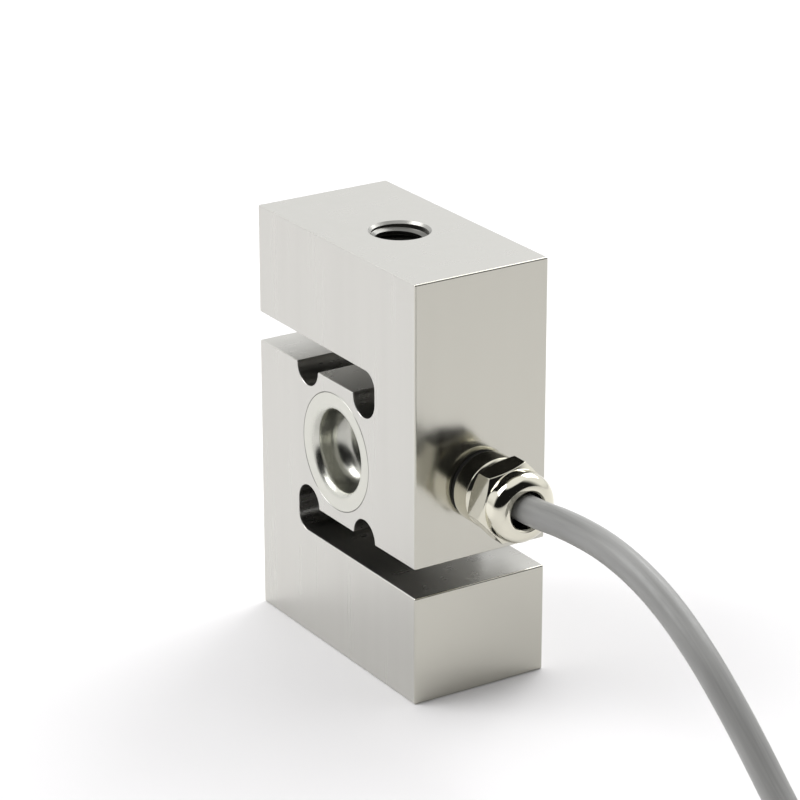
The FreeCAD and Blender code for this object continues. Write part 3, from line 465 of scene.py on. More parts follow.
def ground_stainless(colours, size):
    """17-4 stainless steel, ground: satin, with fine upright lines that draw highlights out sideways.

    Real grit lines are about 0.05 mm apart; they are drawn 0.35 mm apart, so that they show. The end
    faces carry theirs across. The sides were ground finer and mirror the gland; their colour is a
    little darker and warmer, a painted warm reflection. The wire-cut slots carry painted shade over a
    little real skin, and the tapped holes carry painted shade.
    """
    material, tree, shader, place = new_finish("ground_stainless", colours.steel, 1.0, 0.3)
    apart = add_node(tree, "ShaderNodeSeparateXYZ", {"Vector": place}).outputs
    from_middle = worked(tree, "SUBTRACT", apart["Z"], HALF_HEIGHT)
    across = worked(tree, "ABSOLUTE", apart["X"])
    deep = worked(tree, "ABSOLUTE", apart["Y"])
    high = worked(tree, "ABSOLUTE", from_middle)
    skin, soft = 0.3 * MM, 0.1 * MM
    side_face = stepped(tree, across, HALF_WIDTH - skin, soft)
    end_face = stepped(tree, high, HALF_HEIGHT - skin, soft)
    # A slot lies between the notches' crowns and the arm, and behind the outer faces.
    past_notch = stepped(tree, high, size.slot_near - size.notch_radius - skin, soft)
    level_with = worked(tree, "MULTIPLY", past_notch, below(tree, high, size.slot_far + skin, soft))
    behind = worked(tree, "MULTIPLY", below(tree, deep, HALF_THICK - skin, soft),
                    worked(tree, "SUBTRACT", 1.0, side_face))
    slot = worked(tree, "MULTIPLY", level_with, behind)
    # Painted shade in the slot, over a little real wire-cut skin: darkest deep inside, fading to 0.15 of that
    # towards its mouth.
    from_mouth = worked(tree, "MULTIPLY", apart["X"], worked(tree, "SIGN", from_middle))
    shade_fade = ranged(tree, from_mouth, 0.15, 1.0, -0.96 * HALF_WIDTH, -0.4 * HALF_WIDTH)
    from_axis = distance(tree, across, deep)
    # Painted shade in the tapped holes: the colour falls to 0.6 of itself inside the countersink, and to 0.3
    # on the thread within it.
    thread = below(tree, from_axis, size.tap_mouth + 0.05 * MM, soft)
    deep_hole_shade = below(tree, from_axis, size.tap_major - 0.05 * MM, soft)
    weld = weld_line(tree, apart, size.ledge_radius, size.weld_width)
    # Painted shade of the slots and holes, and the weld line's own darker colour, darken the steel to 0.6.
    shade_skin_and_weld = worked(tree, "MAXIMUM", worked(tree, "MULTIPLY", slot, shade_fade), thread)
    shade_skin_and_weld = worked(tree, "MAXIMUM", shade_skin_and_weld, weld)

    grit, stroke = 0.35 * MM, 22 * MM
    upright = noise(tree, place, (grit, grit, stroke), 3.0)
    level = noise(tree, place, (grit, stroke, grit), 3.0)
    lying = worked(tree, "MAXIMUM", slot, end_face)
    lines = add_node(tree, "ShaderNodeMix", {0: lying, 2: upright, 3: level}).outputs[0]
    streaks = noise(tree, place, (3.5 * MM, 3.5 * MM, 60 * MM))
    finer = worked(tree, "MULTIPLY", side_face, 0.11)
    broad = worked(tree, "SUBTRACT", ranged(tree, streaks, 0.27, 0.32), finer)
    rough = worked(tree, "ADD", ranged(tree, lines, -0.012, 0.012), broad)
    tree.links.new(rough, shader.inputs["Roughness"])

    steel = tuple(colours.steel)
    # Painted warm reflection on the side faces: their colour is a little darker and warmer than the other
    # faces.
    warm = tuple(part * share for part, share in zip(steel, (0.955, 0.945, 0.895, 1.0)))
    tone = blended(tree, ranged(tree, streaks, 0.0, 1.0, 0.35, 0.75), steel, shade(steel, 0.985))
    for share, over in ((side_face, warm), (shade_skin_and_weld, shade(steel, 0.6)), (deep_hole_shade, shade(steel, 0.3))):
        tone = blended(tree, share, tone, over)
    tree.links.new(tone, shader.inputs["Base Color"])
    bump(tree, shader, lines, 0.0003 * MM)
    return material


def weld_line(tree, apart, radius, width):
    """A ring round the cups' axis, where the fine laser weld is a shade darker."""
    across = worked(tree, "ABSOLUTE", apart["X"])
    high = worked(tree, "ABSOLUTE", worked(tree, "SUBTRACT", apart["Z"], HALF_HEIGHT))
    off = worked(tree, "ABSOLUTE", worked(tree, "SUBTRACT", distance(tree, across, high), radius))
    return below(tree, off, 0.75 * width, 0.3 * width)


def polished_stainless(colours, radius, width):
    """Drawn 304 stainless steel: the flange is ground with the block, the well polished to a soft shine."""
    material, tree, shader, place = new_finish("polished_stainless", colours.cup, 1.0, 0.24)
    apart = add_node(tree, "ShaderNodeSeparateXYZ", {"Vector": place}).outputs
    deep = worked(tree, "ABSOLUTE", apart["Y"])
    # Painted shade in the well: its colour darkens with depth, to 0.82 of itself 5 mm in. The weld line is
    # darker too.
    well = ranged(tree, deep, 0.45, 0.0, HALF_THICK - 5.0 * MM, HALF_THICK - 1.2 * MM)
    dark = worked(tree, "MAXIMUM", weld_line(tree, apart, radius, width), well)
    tinted(tree, shader, dark, colours.cup, 0.6)
    lip = ranged(tree, deep, 0.0, 1.0, HALF_THICK - 0.45 * MM, HALF_THICK - 0.02 * MM)
    haze = noise(tree, place, (1.2 * MM, 1.2 * MM, 1.2 * MM), 3.0)
    rough = worked(tree, "MULTIPLY_ADD", lip, 0.08, ranged(tree, haze, 0.22, 0.27))
    tree.links.new(rough, shader.inputs["Roughness"])
    bump(tree, shader, noise(tree, place, (0.3 * MM, 0.3 * MM, 4 * MM)), 0.0005 * MM)
    return material


def bright_nickel(colours):
    """Bright nickel plating on turned brass: a warm mirror, with a breath of haze and dust."""
    material, tree, shader, place = new_finish("bright_nickel_plating", colours.nickel, 1.0, 0.06)
    haze = noise(tree, place, (1.5 * MM, 1.5 * MM, 1.5 * MM), 4.0)
    tree.links.new(ranged(tree, haze, 0.05, 0.1), shader.inputs["Roughness"])
    dust = ranged(tree, noise(tree, place, (4 * MM,) * 3), 0.0, 1.0)
    tinted(tree, shader, dust, colours.nickel, 0.95)
    bump(tree, shader, noise(tree, place, (0.12 * MM, 4 * MM, 4 * MM)), 0.0002 * MM)
    return material


def pvc_jacket(colours):
    """Extruded grey PVC: soft sheen and lengthwise draw lines."""
    material, tree, shader, place = new_finish("pvc_jacket", colours.jacket, 0.0, 0.38, 1.53)
    lines = noise(tree, place, (16 * MM, 0.6 * MM, 16 * MM))
    cloud = noise(tree, place, (2.5 * MM,) * 3, 3.0)
    tree.links.new(ranged(tree, cloud, 0.3, 0.4), shader.inputs["Roughness"])
    tinted(tree, shader, ranged(tree, lines, 0.0, 1.0), colours.jacket, 0.8)
    bump(tree, shader, lines, 0.06 * MM)
    return material


def grained(name, base, roughness, ior, grain, depth, metallic=0.0):
    """A moulded or plated finish: one colour, with a fine isotropic grain in roughness and height."""
    material, tree, shader, place = new_finish(name, base, metallic, roughness, ior)
    speck = noise(tree, place, (grain,) * 3, 3.0)
    tree.links.new(ranged(tree, speck, roughness - 0.06, roughness + 0.06), shader.inputs["Roughness"])
    tinted(tree, shader, ranged(tree, speck, 0.0, 1.0), base, 0.9)
    bump(tree, shader, speck, depth)
    return material


def banded(name, base, other, spread, roughness):
    """A foil or board with parallel conductors: a square wave across X in a second colour, whose period is
    2 pi times the spread. (The node's own wave is sin(20 x), hence the 20.)"""
    material, tree, shader, place = new_finish(name, base, 0.0, roughness)
    wave = add_node(tree, "ShaderNodeTexWave", {
        "Vector": place, "Scale": 1 / (spread * 20), "Distortion": 0.0}).outputs["Fac"]
    share = ranged(tree, wave, 0.0, 1.0, 0.45, 0.55)
    tree.links.new(blended(tree, share, tuple(base), linear(other)), shader.inputs["Base Color"])
    bump(tree, shader, wave, 0.01 * MM)
    return material


# ---------------------------------------------------------------- the cable, first

def nurbs(name, points, radius, sides=8):
    """A round cord on one quadratic NURBS spline that starts and ends on its first and last point."""
    curve = bpy.data.curves.new(name, "CURVE")
    curve.dimensions = "3D"
    curve.bevel_depth = radius
    curve.bevel_resolution = sides
    curve.use_fill_caps = True
    spline = curve.splines.new("NURBS")
    spline.points.add(len(points) - 1)
    spline.points.foreach_set("co", np.hstack([np.array(points), np.ones((len(points), 1))]).ravel())
    spline.order_u = 3
    spline.use_endpoint_u = True
    spline.resolution_u = 6
    cord = bpy.data.objects.new(name, curve)
    bpy.context.scene.collection.objects.link(cord)
    return cord


def on_hank(points):
    """Points given from the hank's centre, as points in the frame."""
    return np.array(points, float) + (*HANK_CENTRE, 0.0)


def hank_points(size):
    """The hank's control points, 16 a turn: two runs and two half rings, each ring's six points on a
    polygon round it. Two turns lie side by side in a layer. At the near end of every turn the radius or
    the height eases to the next turn's by 3f^2 - 2f^3, and a climbing turn bows by sin(pi f)^3."""
    half, step = size.hank_run / 2, math.radians(30)
    spread = math.tan(step / 2)
    inner, outer = size.inner_turn, size.inner_turn + size.pitch
    corners = np.arange(6) * step + step / 2
    points = []
    for turn in range(size.turns):
        radius = outer if turn % 4 in (0, 3) else inner
        height = size.first_height + size.pitch * (turn // 2)
        reach = half - radius * spread
        points += [(-reach, -radius, height), (reach, -radius, height)]
        for angle in corners - math.pi / 2:
            around = radius / math.cos(step / 2)
            points.append((half + around * math.cos(angle), around * math.sin(angle), height))
        points.append((reach, radius, height))
        if turn == size.turns - 1:
            break
        points.append((-reach, radius, height))
        following = outer if (turn + 1) % 4 in (0, 3) else inner
        rise = size.first_height + size.pitch * ((turn + 1) // 2) - height
        bow = 0.0 if rise == 0 else (size.bow_out if radius == outer else -size.bow_in)
        for angle in corners + math.pi / 2:
            share = (angle - math.pi / 2) / math.pi
            eased = share * share * (3 - 2 * share)
            around = radius + (following - radius) * eased + bow * math.sin(math.pi * share) ** 3
            around /= math.cos(step / 2)
            points.append((-half + around * math.cos(angle), around * math.sin(angle), height + rise * eased))
    return on_hank(points)


def lead_points(size, across, up, end_x, end_y):
    """A wire from the jacket's end: straight through the sleeve, then down and along on top of the hank."""
    start_x, start_y, start_z = TAIL_END
    start_y += across * size.wire_offset
    start_z += up * size.wire_offset
    step = (end_x - start_x - LEAD_STRAIGHT) / 3
    sway = end_y - start_y
    apart, droop = (0.4, 0.25) if up > 0 else (0.7, 0.6)
    return on_hank([
        (start_x, start_y, start_z), (start_x + LEAD_STRAIGHT, start_y, start_z),
        (end_x - 2 * step, start_y + apart * sway, start_z + droop * (LEAD_HEIGHT - start_z)),
        (end_x - step, start_y + 0.9 * sway, LEAD_HEIGHT), (end_x, end_y, LEAD_HEIGHT)])


class LOADCELL_OT_cable(Operator):
    """Lay the lead from the gland to its hank and along to its open end"""

    bl_idname = "loadcell.cable"
    bl_label = "Cable"

    def execute(self, context):
        size = context.scene.load_cell.cable
        colours = context.scene.load_cell.colours
        route = np.vstack([CABLE_POINTS, on_hank(LEAD_IN_POINTS), hank_points(size),
                           on_hank(LEAD_OUT_POINTS), on_hank([TAIL_END])])
        cable = nurbs("signal_cable", route, size.radius)
        finish_piece(cable, pvc_jacket(colours), "grey_jacket", "cable_run", "cable_hank", "cable_tail")
        return {"FINISHED"}


class LOADCELL_OT_leads(Operator):
    """Lay the open wires, the drain wire, the tinned ends and the shrink sleeve"""

    bl_idname = "loadcell.leads"
    bl_label = "Open wires"

    def execute(self, context):
        size = context.scene.load_cell.cable
        colours = context.scene.load_cell.colours
        tin = grained("tinned_copper", colours.tin, 0.3, 1.5, 0.15 * MM, 0.004 * MM, 1.0)
        strands = []
        for name, end in LEADS.items():
            points = lead_points(size, *end)
            wire = nurbs(f"wire_{name}", points, size.wire_radius, 5)
            base = getattr(colours, name)
            coat = grained(f"pvc_insulation_{name}", base, 0.38, 1.53, 0.6 * MM, 0.01 * MM)
            finish_piece(wire, coat, f"wire_{name}", f"lead_{name}")
            strands.append(strand_bundle(points[-1], points[-1] - points[-2], size.strand_radius))
        tubes = np.vstack(strands)
        each = tubes.shape[1] * tubes.shape[2]
        faces = [[index + number * each for index in face]
                 for number, tube in enumerate(tubes) for face in capped(tube)]
        tips = new_piece("tinned_ends", tubes, faces, close=False)
        finish_piece(tips, tin, "tinned_copper", "lead_tips")
        drain = nurbs("drain_wire", lead_points(size, *DRAIN), size.drain_radius, 4)
        finish_piece(drain, tin, "tinned_copper", "shield_drain")
        self.sleeve(size, colours)
        return {"FINISHED"}

    @staticmethod
    def sleeve(size, colours):
        """The sleeve hugs the jacket. Its radius ripples by a sine and necks in over its last fifth, by the
        square of the share of that fifth."""
        low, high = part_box("end_sleeve")
        foot = (low[0], (low[1] + high[1]) / 2, (low[2] + high[2]) / 2)
        long = high[0] - low[0]
        along = np.linspace(0, 1, 33)
        ripple, necking, shrunk = 0.06 * MM, 0.22 * MM, 0.08 * MM
        neck = ripple * np.sin(along * 19) - necking * np.clip((along - 0.8) / 0.2, 0, 1) ** 2
        outside = np.stack([along * long, size.sleeve_radius - shrunk + neck], -1)
        bore = size.radius + 0.07 * MM
        profile = softened(np.vstack([outside, [(long, bore), (0.0, bore)]]), 0.12 * MM, 2)
        sleeve = turned_piece("shrink_sleeve", profile, foot, X_AXIS, 48)
        coat = grained("polyolefin_sleeve", colours.sleeve, 0.5, 1.5, 0.5 * MM, 0.01 * MM)
        finish_piece(sleeve, coat, "shrink_sleeve", "end_sleeve")


def strand_bundle(start, ahead, strand):
    """Seven strands, one in the middle and six wound round it: helices of one turn in 6 mm."""
    tip = 6 * MM
    ahead = ahead / np.linalg.norm(ahead)
    across = np.cross(ahead, Z_AXIS)
    up = np.cross(across, ahead)
    along = np.linspace(0, 1, 25)[:, None]
    tubes = []
    for number in range(7):
        lay = strand * (0.0 if number == 6 else 2.03)
        angle = number * math.pi / 3 + along * 2 * math.pi
        path = start + along * tip * ahead + lay * (np.cos(angle) * across + np.sin(angle) * up)
        tubes.append(swept(path, strand, 8))
    return np.array(tubes)


# ---------------------------------------------------------------- the block

def half_outline(size):
    """Half of the S as arcs joined by straight sides, from the left side down and round to the right side
    above the lower slot, in X and Z from the block's middle. The other half is it turned by half a turn."""
    near, far, end = -size.slot_near, -size.slot_far, -size.slot_end
    edge, fine, notch, corner = size.edge_round, 0.2 * MM, size.notch_radius, size.slot_corner
    dip = math.degrees(math.asin(fine / notch))
    return [
        (arc((edge - HALF_WIDTH, edge - HALF_HEIGHT), edge, 180, 270, 5), 1.0),
        (arc((HALF_WIDTH - edge, edge - HALF_HEIGHT), edge, 270, 360, 5), 1.0),
        (arc((HALF_WIDTH - edge, far - edge), edge, 0, 90, 5), 1.0),
        (arc((end + corner, far + corner), corner, 270, 180, 12), 0.0),
        (arc((end + notch, near), notch, 180, dip, 32), 0.0),
        (arc((end + 2 * notch + fine, near + fine), fine, 180, 270, 4), 0.0),
        (arc((-end - 2 * notch - fine, near + fine), fine, 270, 360, 4), 0.0),
        (arc((-end - notch, near), notch, 180 - dip, dip, 32), 0.0),
        (arc((fine - end, near + fine), fine, 180, 270, 4), 0.0),
        (arc((HALF_WIDTH - edge, near + edge), edge, 270, 360, 5), 1.0),
    ]


def block_prism(size):
    """The S outline carried from front to back. Near each face the outline moves inwards along its own
    normal by c (1 - sin a) while it comes forward by c (1 - cos a): a rounded edge of radius c."""
    stretches = half_outline(size)
    outline = np.vstack([points for points, outer in stretches])
    outer = np.concatenate([np.full(len(points), outer) for points, outer in stretches])
    outline = np.vstack([outline, -outline])
    outer = np.concatenate([outer, outer])
    before = outline - np.roll(outline, 1, 0)
    after = np.roll(outline, -1, 0) - outline
    before /= np.linalg.norm(before, axis=1, keepdims=True)
    after /= np.linalg.norm(after, axis=1, keepdims=True)
    tangent = before + after
    tangent /= np.linalg.norm(tangent, axis=1, keepdims=True)
    inward = np.stack([-tangent[:, 1], tangent[:, 0]], -1) / (tangent * after).sum(1, keepdims=True)
    radius = size.slot_edge + (0.95 * size.edge_round - size.slot_edge) * outer
    turn = np.radians([0, 30, 60, 90])[:, None]
    inset = radius * (1 - np.sin(turn))
    forward = radius * (1 - np.cos(turn))
    inset = np.vstack([inset, inset[::-1]])
    across = np.vstack([forward - HALF_THICK, HALF_THICK - forward[::-1]])
    flat = outline[None] + inset[..., None] * inward[None]
    points = np.stack([flat[..., 0], across, flat[..., 1] + HALF_HEIGHT], -1)
    return new_piece("spring_block", points, capped(points))


def load_thread(size, mouth, inwards):
    """The ridge of an internal thread: a trapezoid carried along a helix that runs clockwise, seen from
    above. Its crest reaches the tap drill's radius, and no point lies nearer the axis than the
    countersink's cone at that depth."""
    pitch = size.tap_pitch
    turns = (size.tap_depth - pitch) / pitch
    angle = np.linspace(0, turns * 2 * math.pi, int(turns * 72) + 1)[:, None]
    rise = size.tap_major - size.tap_minor
    flank = rise * math.tan(math.radians(30))
    crest = pitch / 8
    share = np.linspace(0, 1, 4)
    shape_along = np.concatenate([-(crest + flank * (1 - share)), crest + flank * share])
    shape_rise = np.concatenate([rise * share, rise * (1 - share)])
    sunk = 0.03 * MM
    shape_along = np.concatenate([shape_along, [crest + flank, -(crest + flank)]])
    shape_rise = np.concatenate([shape_rise, [-sunk, -sunk]])
    fade = np.clip(angle / 0.7, 0, 1) * np.clip((angle[-1] - angle) / 3.0, 0, 1)
    depth = 0.55 * pitch + angle / (2 * math.pi) * pitch + shape_along * (0.15 + 0.85 * fade)
    radius = size.tap_major - np.where(shape_rise > 0, shape_rise * fade, shape_rise)
    radius = np.where(shape_rise > 0, np.maximum(radius, size.tap_mouth - depth), radius)
    radius = np.where(shape_rise > 0, np.minimum(radius, size.tap_major + sunk / 2), radius)
    points = np.stack([radius * np.cos(-angle), radius * np.sin(-angle), mouth + inwards * depth], -1)
    return new_piece("thread_ridge", points, capped(points))


def thread_bore(size):
    """What the tap and its countersink leave: along the axis from outside the mouth, and the radius."""
    cone = size.tap_mouth - size.tap_major
    run_out, drilled, drill_point = 0.4 * MM, 1.4 * MM, 2.5 * MM
    foot = size.tap_depth + drilled
    return [(-OVER, 0), (-OVER, size.tap_mouth + OVER), (cone, size.tap_major),
            (size.tap_depth, size.tap_major), (size.tap_depth + run_out, size.tap_minor),
            (foot, size.tap_minor), (foot + drill_point, 0)]


def cavity_bore(size):
    """The gauge cavity with the cup's ledge and the fine bevel of the weld line."""
    bevel, ledge, floor = size.weld_width / 2, 0.8 * MM, HALF_THICK - size.web_half
    return [(-OVER, 0), (-OVER, size.ledge_radius + bevel + OVER), (bevel, size.ledge_radius),
            (ledge, size.ledge_radius), (ledge, size.cavity_radius), (floor, size.cavity_radius), (floor, 0)]


def seat_bore():
    """The gland's seat and the wire passage behind it."""
    seat, seat_end, passage, passage_end = 4 * MM, 9 * MM, 3 * MM, 16.4 * MM
    return [(-OVER, 0), (-OVER, seat), (seat_end, seat), (seat_end, passage),
            (passage_end, passage), (passage_end, 0)]


class LOADCELL_OT_block(Operator):
    """Machine the block: slotted outline, gauge cavities, tapped load holes and the gland's seat"""

    bl_idname = "loadcell.block"
    bl_label = "Block"

    def execute(self, context):
        size = context.scene.load_cell.block
        block = block_prism(size)
        bores = ((cavity_bore(size), HALF_THICK, Y_AXIS), (thread_bore(size), HALF_HEIGHT, Z_AXIS))
        cuts = [(profile, BLOCK_MIDDLE + side * half * axis, -side * axis)
                for profile, half, axis in bores for side in (-1, 1)]
        cuts.append((seat_bore(), GLAND_FOOT, -X_AXIS))
        for profile, foot, axis in cuts:
            combine(block, turned_piece("cutter", profile, foot, axis, 96, ring=False), "DIFFERENCE")
        for side in (-1, 1):
            combine(block, load_thread(size, BLOCK_MIDDLE[2] + side * HALF_HEIGHT, -side), "UNION")
        smooth(block, 28.0)
        flat_faces_first(block)
        coat = ground_stainless(context.scene.load_cell.colours, size)
        finish_piece(block, coat, "steel_block", "spring_element")
        return {"FINISHED"}


class LOADCELL_OT_cups(Operator):
    """Draw the two sealing cups"""

    bl_idname = "loadcell.cups"
    bl_label = "Sealing cups"

    def execute(self, context):
        size = context.scene.load_cell.cup
        block = context.scene.load_cell.block
        coat = polished_stainless(context.scene.load_cell.colours, block.ledge_radius, block.weld_width)
        for name, side in (("front", -1), ("rear", 1)):
            foot = BLOCK_MIDDLE + side * HALF_THICK * Y_AXIS
            cup = turned_piece(f"{name}_cup", self.profile(size), foot, -side * Y_AXIS, 160)
            finish_piece(cup, coat, "polished_cup", f"{name}_sealing_cup")
        return {"FINISHED"}

    @staticmethod
    def profile(size):
        """Depth and radius round the cup's skin: flange, rounded lip, wall, round corner, a floor that rises
        to its crown by crown (1 - (r / R)^2), and back along the outside a wall's thickness away."""
        floor, well, corner = size.well_depth, size.well_radius, size.well_corner
        wall, lip, bevel = size.wall, size.lip, 0.065 * MM
        share = np.linspace(0, 1, 9)[1:]
        flat = (well - corner) * (1 - share)
        crowned = np.stack([floor - size.crown * (1 - (flat / (well - corner)) ** 2), flat], -1)
        inner_corner = arc((floor - corner, well - corner), corner, 90, 0, 12)
        lip_arc = arc((lip, well + lip), lip, 180, 270, 10)
        outer_corner = arc((floor - corner, well - corner), corner + wall, 0, 90, 12)
        under = np.stack([crowned[::-1, 0] + wall, crowned[::-1, 1]], -1)
        return np.vstack([
            [(size.flange, well + wall), (size.flange, size.flange_radius), (bevel, size.flange_radius),
             (0.0, size.flange_radius - bevel)],
            lip_arc, inner_corner, crowned, under, outer_corner])


# ---------------------------------------------------------------- the gland

def gland_ring(name, corners, edge):
    """A turned ring on the gland's axis, with its corners softened."""
    return turned_piece(name, softened(corners, edge), GLAND_FOOT, X_AXIS, 96)


class LOADCELL_OT_gland(Operator):
    """Turn the gland's body and washer and mill its cap nut"""

    bl_idname = "loadcell.gland"
    bl_label = "Cable gland"

    def execute(self, context):
        size = context.scene.load_cell.gland
        colours = context.scene.load_cell.colours
        nickel = bright_nickel(colours)
        body = gland_ring("gland_turning", self.body_corners(size), size.edge)
        finish_piece(body, nickel, "nickel_brass", "gland_body")
        hole = size.stem_radius + 0.1 * MM
        washer = gland_ring("gland_washer_ring", [
            (0, hole), (0, size.washer_radius), (size.washer, size.washer_radius), (size.washer, hole),
        ], 0.2 * MM)
        rubber = grained("nitrile_rubber", colours.rubber, 0.75, 1.52, 0.4 * MM, 0.02 * MM)
        finish_piece(washer, rubber, "black_rubber", "gland_washer")
        finish_piece(self.cap_nut(size), nickel, "nickel_brass", "gland_cap_nut")
        return {"FINISHED"}

    @staticmethod
    def body_corners(size):
        """Stem, collar with its two bevels, neck and the stepped bore."""
        bevel = size.collar_bevel
        return [
            (-size.stem_length, size.stem_bore), (-size.stem_length, size.stem_radius),
            (size.washer, size.stem_radius), (size.washer, size.collar_radius - bevel),
            (size.washer + bevel, size.collar_radius), (size.collar_end - bevel, size.collar_radius),
            (size.collar_end, size.collar_radius - bevel), (size.collar_end, size.neck_radius),
            (size.neck_end, size.neck_radius), (size.neck_end, size.neck_bore),
            (size.seal_start, size.neck_bore), (size.seal_start, size.stem_bore)]

    @staticmethod
    def cap_nut(size):
        """The hexagon's radius at an angle is half its flats over the cosine from the nearest flat's middle.
        A turned chamfer cuts each end: it starts where a cone of slope 0.6 meets that radius. The rows run on
        over the round nose, into the mouth and back along the stepped bore."""
        columns = 144
        angle = np.linspace(0, 2 * math.pi, columns, endpoint=False)
        from_flat = (angle + math.pi / 6) % (math.pi / 3) - math.pi / 6
        flats = size.nut_flats / 2 / np.cos(from_flat)
        ring = size.nut_flats / 2 - size.nut_chamfer
        slope = 0.6
        cut = (flats - ring) * slope
        whole = np.ones(columns)
        rows = [(size.nut_start * whole, ring * whole), (size.nut_start + cut, flats),
                (size.nut_end - cut, flats),
                (whole * (size.nut_end - (size.dome_radius - ring) * slope), size.dome_radius * whole)]
        dome = size.dome_round
        nose = arc((size.dome_end - dome, size.dome_radius - dome), dome, 90, 0, 16)
        bevel, mouth, bore = size.mouth_bevel, size.mouth_radius, size.neck_radius + 0.05 * MM
        # The cone that presses on the claw, from its narrow end to its wide foot.
        narrow_end, narrow, wide_end, wide = 12.25 * MM, 3.8 * MM, 9.7 * MM, 4.2 * MM
        inside = softened([
            (size.dome_end, mouth + bevel + 0.3 * MM), (size.dome_end, mouth + bevel),
            (size.dome_end - bevel, mouth), (narrow_end, mouth), (narrow_end, narrow), (wide_end, wide),
            (wide_end, bore), (size.nut_start, bore), (size.nut_start, size.neck_radius + 0.4 * MM),
        ], 0.08 * MM, 2)
        # The first and the last corner only lead in and out.
        inside = inside[3:-3]
        rows += [(along * whole, radius * whole) for along, radius in np.vstack([nose, inside])]
        along, radius = (np.array(part)[..., None] for part in zip(*rows))
        points = GLAND_FOOT + along * X_AXIS + radius * directions(X_AXIS, angle + size.nut_turn)[None]
        nut = new_piece("cap_nut", points, grid_faces(points, round_rows=True, round_columns=True), 30.0)
        bevel_edges = nut.modifiers.new("edge_breaks", "BEVEL")
        bevel_edges.width = size.edge
        bevel_edges.segments = 2
        bevel_edges.limit_method = "ANGLE"
        bevel_edges.angle_limit = math.radians(40.0)
        flat_faces_first(nut)
        return nut


# ---------------------------------------------------------------- what lies inside

class LOADCELL_OT_inside(Operator):
    """Finish the sealed pieces: gauges, terminals, circuit board, wires, plug, seal and claw"""

    bl_idname = "loadcell.inside"
    bl_label = "Inside"

    def execute(self, context):
        colours = context.scene.load_cell.colours
        foil = banded("polyimide_gauge_foil", colours.foil, "#8C8878", 0.35 * MM, 0.35)
        board = banded("glass_epoxy_board", colours.board, "#2F8A55", 0.8 * MM, 0.4)
        bed = grained("epoxy_adhesive", colours.bed, 0.55, 1.55, 0.8 * MM, 0.02 * MM)
        chip = grained("ceramic_chip", colours.chip, 0.45, 1.6, 0.3 * MM, 0.005 * MM)
        enamel = grained("enamelled_copper", colours.enamel, 0.25, 1.5, 0.3 * MM, 0.003 * MM, 1.0)
        rubber = grained("chloroprene_rubber", colours.rubber, 0.7, 1.52, 0.4 * MM, 0.02 * MM)
        nylon = grained("black_polyamide", colours.nylon, 0.42, 1.53, 0.25 * MM, 0.01 * MM)
        finishes = {
            "front_strain_gauge": foil, "rear_strain_gauge": foil, "front_terminal_strip": foil,
            "board_bed": bed, "circuit_board": board, "trim_resistors": chip, "bridge_wires": enamel,
            "passage_plug": rubber, "gland_seal": rubber, "gland_claw": nylon, "hank_tie": nylon,
        }
        for name in LEADS:
            finishes[f"core_{name}"] = bpy.data.materials[f"pvc_insulation_{name}"]
        for name, material in finishes.items():
            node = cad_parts[name]
            node.data.materials.clear()
            node.data.materials.append(material)
            if name in ("gland_seal", "gland_claw", "passage_plug", "hank_tie") or name.startswith("core"):
                smooth(node, 35.0)
        return {"FINISHED"}


class LOADCELL_OT_declare(Operator):
    bl_idname = "loadcell.declare"
    bl_label = "Declare cords"

    def execute(self, context):
        on_cable = ["gland_turning", "gland_washer_ring", "cap_nut", "gland_seal", "gland_claw", "hank_tie",
                    "shrink_sleeve"]
        on_cable += [f"core_{name}" for name in LEADS]
        return {"FINISHED"}


# ---------------------------------------------------------------- the stage

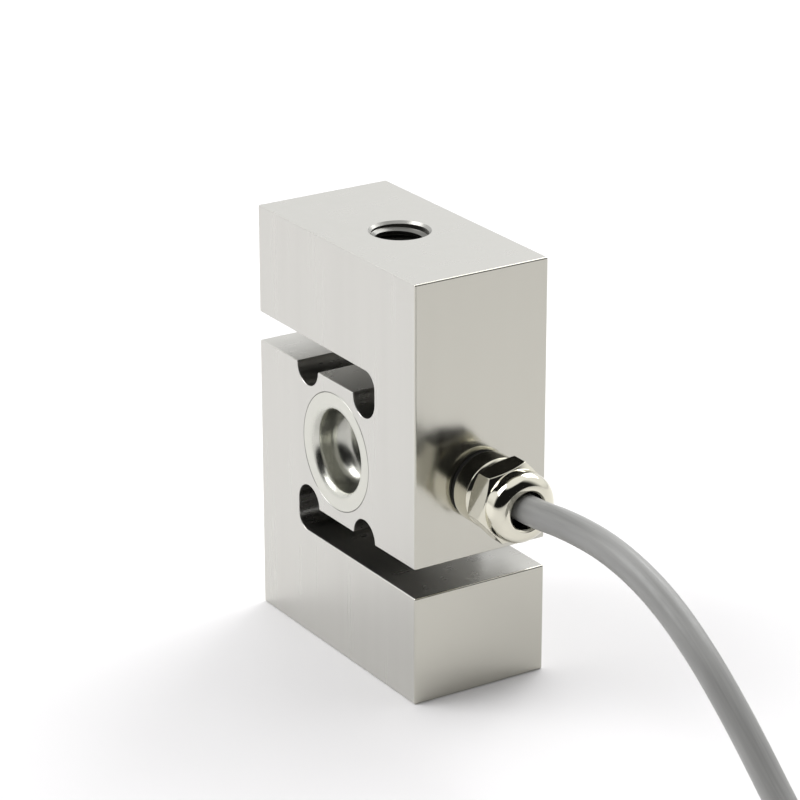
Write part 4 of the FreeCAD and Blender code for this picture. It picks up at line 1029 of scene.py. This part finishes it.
class LOADCELL_OT_stage(Operator):
    """Set up the pale floor, the soft studio light and the camera"""

    bl_idname = "loadcell.stage"
    bl_label = "Stage"

    def execute(self, context):
        self.camera(context)
        self.floor(context)
        self.world(context)
        for name, (place, size) in SOFTBOXES.items():
            self.softbox(context, name, place, size)
        return {"FINISHED"}

    @staticmethod
    def camera(context):
        """The view from the front and the gland's side, a little from above."""
        data = bpy.data.cameras.new("camera")
        data.lens = CAMERA_LENS
        data.sensor_width = 36.0
        data.clip_start = 0.01
        data.clip_end = 50.0
        camera = bpy.data.objects.new("camera", data)
        camera.location = CAMERA_PLACE
        camera.rotation_euler = CAMERA_TURN
        context.scene.collection.objects.link(camera)
        context.scene.camera = camera

    @staticmethod
    def floor(context):
        """A flat disc: radius times (cos a, sin a), in rings that widen outwards."""
        points = turned([(0.0, radius) for radius in FLOOR_RINGS], (0, 0, 0), Z_AXIS, 96)
        floor = new_piece("floor", points, grid_faces(points, round_columns=True))
        if floor.data.polygons[0].normal.z < 0:
            floor.data.flip_normals()
        base = context.scene.load_cell.colours.floor
        material, tree, shader, place = new_finish("matte_paper", base, 0.0, 0.55, 1.45)
        bump(tree, shader, noise(tree, place, (1 * MM,) * 3), 0.01 * MM)
        floor.data.materials.append(material)

    @staticmethod
    def world(context):
        """White all round and a little brighter upwards, with a dark room on the camera's side between the
        horizon and the ceiling. Each edge of the room eases over by a smooth step."""
        world = bpy.data.worlds.new("studio")
        context.scene.world = world
        world.use_nodes = True
        tree = world.node_tree
        tree.nodes.clear()
        direction = add_node(tree, "ShaderNodeTexCoord").outputs["Generated"]
        room = add_node(tree, "ShaderNodeVectorMath", {0: direction, 1: CAMERA_SIDE}, operation="DOT_PRODUCT")
        height = add_node(tree, "ShaderNodeSeparateXYZ", {"Vector": direction}).outputs["Z"]
        eased = {"interpolation_type": "SMOOTHSTEP"}
        side = ranged(tree, room.outputs["Value"], 0.0, 1.0, -0.05, 0.35, **eased)
        above = ranged(tree, height, 0.0, 1.0, -0.02, 0.06, **eased)
        under = ranged(tree, height, 0.0, 1.0, 0.9, 0.8, **eased)
        dark = worked(tree, "MULTIPLY", worked(tree, "MULTIPLY", side, above), under)
        open_sky = ranged(tree, height, 0.8, 1.1, -0.05, 0.2)
        strength = ranged(tree, dark, open_sky, 0.012, 0.0, 1.0)
        background = add_node(tree, "ShaderNodeBackground", {
            "Color": linear("#FEFEFE"), "Strength": strength})
        output = add_node(tree, "ShaderNodeOutputWorld")
        tree.links.new(background.outputs["Background"], output.inputs["Surface"])
        context.scene.view_settings.view_transform = "Standard"

    @staticmethod
    def softbox(context, name, place, size):
        """A square light that looks at the block's foot."""
        light = bpy.data.lights.new(name, "AREA")
        light.shape = "SQUARE"
        light.size = size
        light.energy = SOFTBOX_POWER
        lamp = bpy.data.objects.new(name, light)
        towards = np.array(SOFTBOX_AIM) - np.array(place)
        lamp.location = place
        lamp.rotation_mode = "QUATERNION"
        lamp.rotation_quaternion = Vector(towards).to_track_quat("-Z", "Y")
        context.scene.collection.objects.link(lamp)


class LOADCELL_PT_panel(Panel):
    """Lists the load cell's pieces and their sizes"""

    bl_label = "Load cell"
    bl_idname = "LOADCELL_PT_panel"
    bl_space_type = "VIEW_3D"
    bl_region_type = "UI"
    bl_category = "Load cell"

    def draw(self, context):
        settings = context.scene.load_cell
        for operator in OPERATORS:
            self.layout.operator(operator.bl_idname)
        for group in (settings.block, settings.cup, settings.gland, settings.cable, settings.colours):
            box = self.layout.box()
            box.label(text=type(group).__name__)
            for name in type(group).__annotations__:
                box.prop(group, name)


OPERATORS = (LOADCELL_OT_stage, LOADCELL_OT_cable, LOADCELL_OT_leads, LOADCELL_OT_block, LOADCELL_OT_cups,
             LOADCELL_OT_gland, LOADCELL_OT_inside, LOADCELL_OT_declare)
CLASSES = (BlockSizes, CupSizes, GlandSizes, CableSizes, Colours, LoadCellSettings, *OPERATORS,
           LOADCELL_PT_panel)


def register():
    """Register the classes and hang the settings on the scene."""
    for made in CLASSES:
        bpy.utils.register_class(made)
    bpy.types.Scene.load_cell = PointerProperty(type=LoadCellSettings)


def unregister():
    """Take the settings and the classes off again."""
    del bpy.types.Scene.load_cell
    for made in reversed(CLASSES):
        bpy.utils.unregister_class(made)


def main():
    """Build everything in order."""
    register()
    bpy.ops.loadcell.stage()
    bpy.ops.loadcell.cable()
    bpy.ops.loadcell.leads()
    bpy.ops.loadcell.block()
    bpy.ops.loadcell.cups()
    bpy.ops.loadcell.gland()
    bpy.ops.loadcell.inside()
    bpy.ops.loadcell.declare()


if __name__ == "__main__":
    main()
